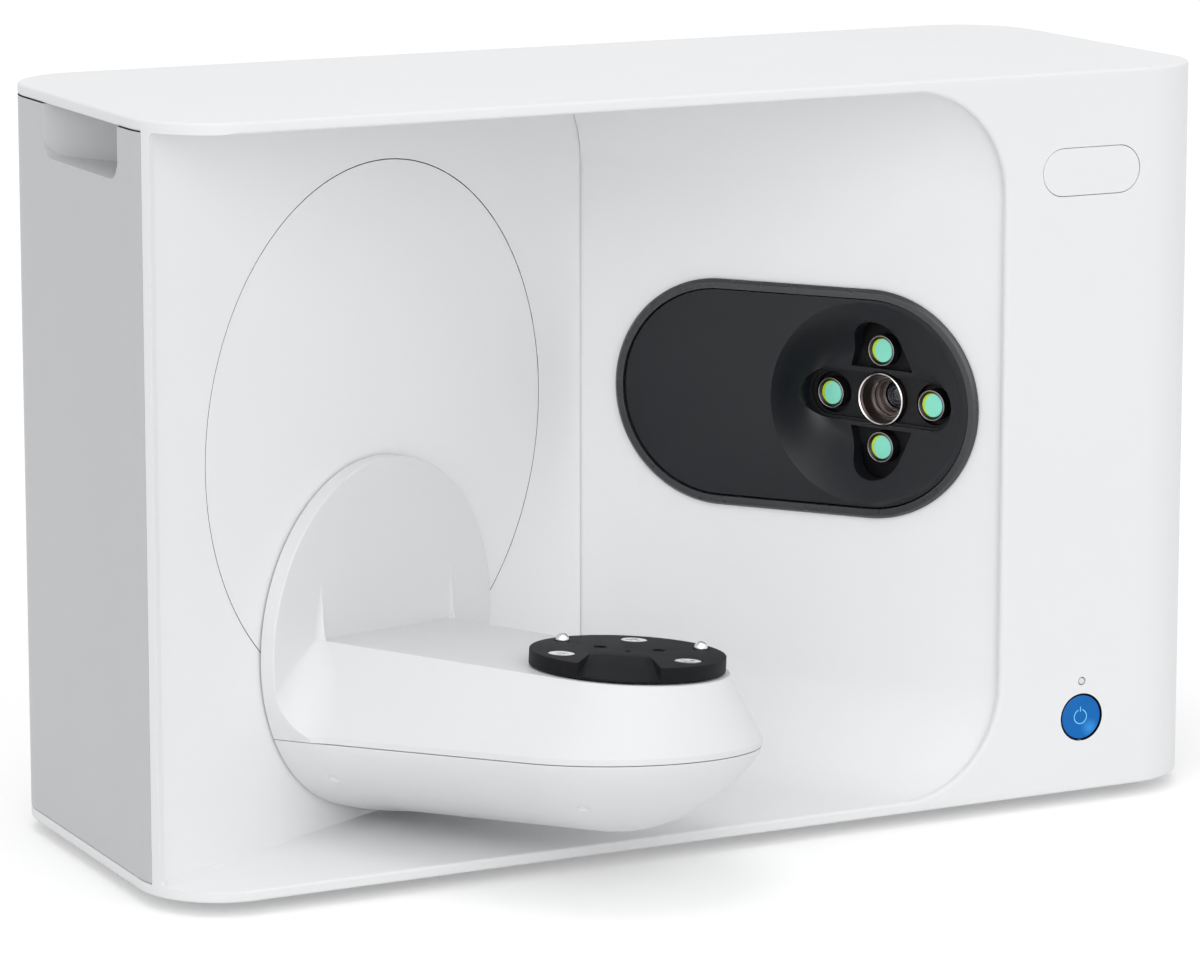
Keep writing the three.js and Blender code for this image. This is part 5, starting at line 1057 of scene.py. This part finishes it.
pipe = turned(eased([(0, -0.02), (1.0, 0.0), (1.35, 0.12), (1.45, 0.4), (1.85, 3.3), (2.65, 3.3), (2.65, 4.1),
                     (1.85, 4.1), (1.85, 9), (0, 9)], 0.12), 48)
pipe_place = body_place @ light_spot @ Matrix.Translation((0, 0.05, 0))
piece("status_light", pipe, pipe_place, milky_plastic(), ["status_light_pipe"])
insert = loft(oval_rings(eased([(6, 0), (10.5, 0), (10.5, 3.3), (12.5, 3.3), (12.5, 4.9), (6, 4.9)], 0.3),
                         pill_span, 32))
piece("bare_insert", insert, body_place @ pill_spot, housing_white, ["badge_insert"])

# The four feet under the base plate are discs of black rubber with a bevelled lower edge, so that the
# scanner stands firmly. They are moulded, and glued to the plate.
rubber = dark_plastic("foot rubber", (0.014, 0.0145, 0.015), 0.8)
for node in ("front_left_foot", "front_right_foot", "rear_left_foot", "rear_right_foot"):
    low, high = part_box(node)
    foot = turned(eased([(0, 0), (9.4, 0), (11, 1.4), (11, 5.7), (0, 5.7)], 0.5))
    spot = Matrix.Translation(((low.x + high.x) / 2, (low.y + high.y) / 2, low.z)) @ millimetres @ on_end
    piece(node.replace("foot", "rubber_foot"), foot, spot, rubber, [node])

# The power inlet is a black nylon moulding, and the data port a folded steel shell. Both sit flush in the
# rear cover.
black_plastic = dark_plastic("black plastic", (0.012, 0.0125, 0.014), 0.45)
piece("inlet_moulding", merged_copy("power_inlet"), Matrix(), black_plastic, ["power_inlet"], 0.0002)
piece("port_shell", merged_copy("data_port"), Matrix(), steel, ["data_port"], 0.00015)


def dressed(material, *nodes):
    """CAD nodes that stay as they are and get their real material."""
    for node in nodes:
        mesh = frame["nodes"][node].data
        mesh.materials.clear()
        mesh.materials.append(material)


# The swing drive behind the left wall: a steel shaft in a milled aluminium bearing housing on an aluminium
# chassis. A rubber belt joins its large black acetal pulley to the steel pulley of the black motor.
aluminium = turned_metal("milled aluminium", (0.68, 0.69, 0.70), 0.34)
dressed(aluminium, "drive_chassis", "bearing_housing")
dressed(steel, "swing_shaft", "motor_pulley")
dressed(black_plastic, "swing_pulley", "swing_motor")
dressed(rubber, "drive_belt")

# Inside the arm: a frame milled from aluminium carries the turntable's bearing and its turned shaft, both of
# steel, and a small motor in a black case.
dressed(aluminium, "arm_frame")
dressed(steel, "turntable_bearing", "turntable_shaft")
dressed(black_plastic, "turntable_motor")

# Behind the scan head: the cameras' carrier plate, blackened so that it gives no stray light, and the
# projector.
dressed(well_black_and_shade, "camera_carrier")
dressed(black_plastic, "projector_body")

# Behind the button: a holder moulded in ivory plastic guides the cap, and a snap switch in a black case is
# fixed on it.
ivory = dark_plastic("ivory plastic", (0.62, 0.60, 0.54), 0.5)
dressed(ivory, "button_housing")
dressed(black_plastic, "tact_switch")

# Power and control: a glass-fibre board with green solder mask, a supply in a folded aluminium case, and
# the fan.
board_green = dark_plastic("board green", (0.012, 0.11, 0.045), 0.5)
dressed(board_green, "main_board")
dressed(aluminium, "power_supply")
dressed(black_plastic, "cooling_fan_frame", "fan_rotor")

# The studio: a pale floor that keeps a soft shadow and turns white for the camera, and four even daylight
# lamps. The world's light is dimmer where the camera does not see it.
def seen_rays(nodes):
    """Which rays come from what the camera sees, directly, in a gloss or through glass."""
    return [nodes.node("ShaderNodeLightPath", output=f"Is {kind} Ray")
            for kind in ("Camera", "Glossy", "Transmission")]


floor_finish = Finish("studio floor")
camera_ray, glossy_ray, through_ray = seen_rays(floor_finish)
floor_tone = floor_finish.blend(floor_finish.noise(0.3), (0.85, 0.85, 0.85), (0.87, 0.87, 0.87))
matt = floor_finish.node("ShaderNodeBsdfDiffuse", sockets={"Color": floor_tone})
lift = floor_finish.node("ShaderNodeEmission", sockets={
    "Color": (1, 1, 1, 1), "Strength": 0.26 * (camera_ray + glossy_ray + through_ray)})
floor_finish.show(floor_finish.node("ShaderNodeAddShader", sockets={0: matt, 1: lift}))
bpy.ops.mesh.primitive_plane_add(size=16, location=(0, 2, 0))
floor = bpy.context.object
floor.name = "studio_floor"
floor.data.materials.append(floor_finish.material)

world = bpy.data.worlds.new("studio")
scene.world = world
world.use_nodes = True
sky = Nodes(world.node_tree)
camera_ray, glossy_ray, through_ray = seen_rays(sky)
seen = camera_ray.math("MAXIMUM", glossy_ray).math("MAXIMUM", through_ray)
level = sky.node("ShaderNodeMapRange", sockets={"Value": seen, "To Min": 0.43, "To Max": 1.0})
background = world.node_tree.nodes["Background"]
world.node_tree.links.new(level.socket, background.inputs["Strength"])
background.inputs["Color"].default_value = (1, 1, 1, 1)

lamps = (("front lamp", 0.62, 60, (66, 0, -10)), ("low left lamp", 0.54, 70, (80, 0, -34)),
         ("top lamp", 0.85, 150, (8, 0, 0)), ("top key lamp", 0.38, 30, (6, -8, 0)))
for name, strength, spread, turn in lamps:
    lamp = bpy.data.lights.new(name, "SUN")
    lamp.energy = strength
    lamp.angle = radians(spread)
    holder = bpy.data.objects.new(name, lamp)
    holder.rotation_euler = [radians(angle) for angle in turn]
    scene.collection.objects.link(holder)

scene.view_settings.view_transform = "Standard"
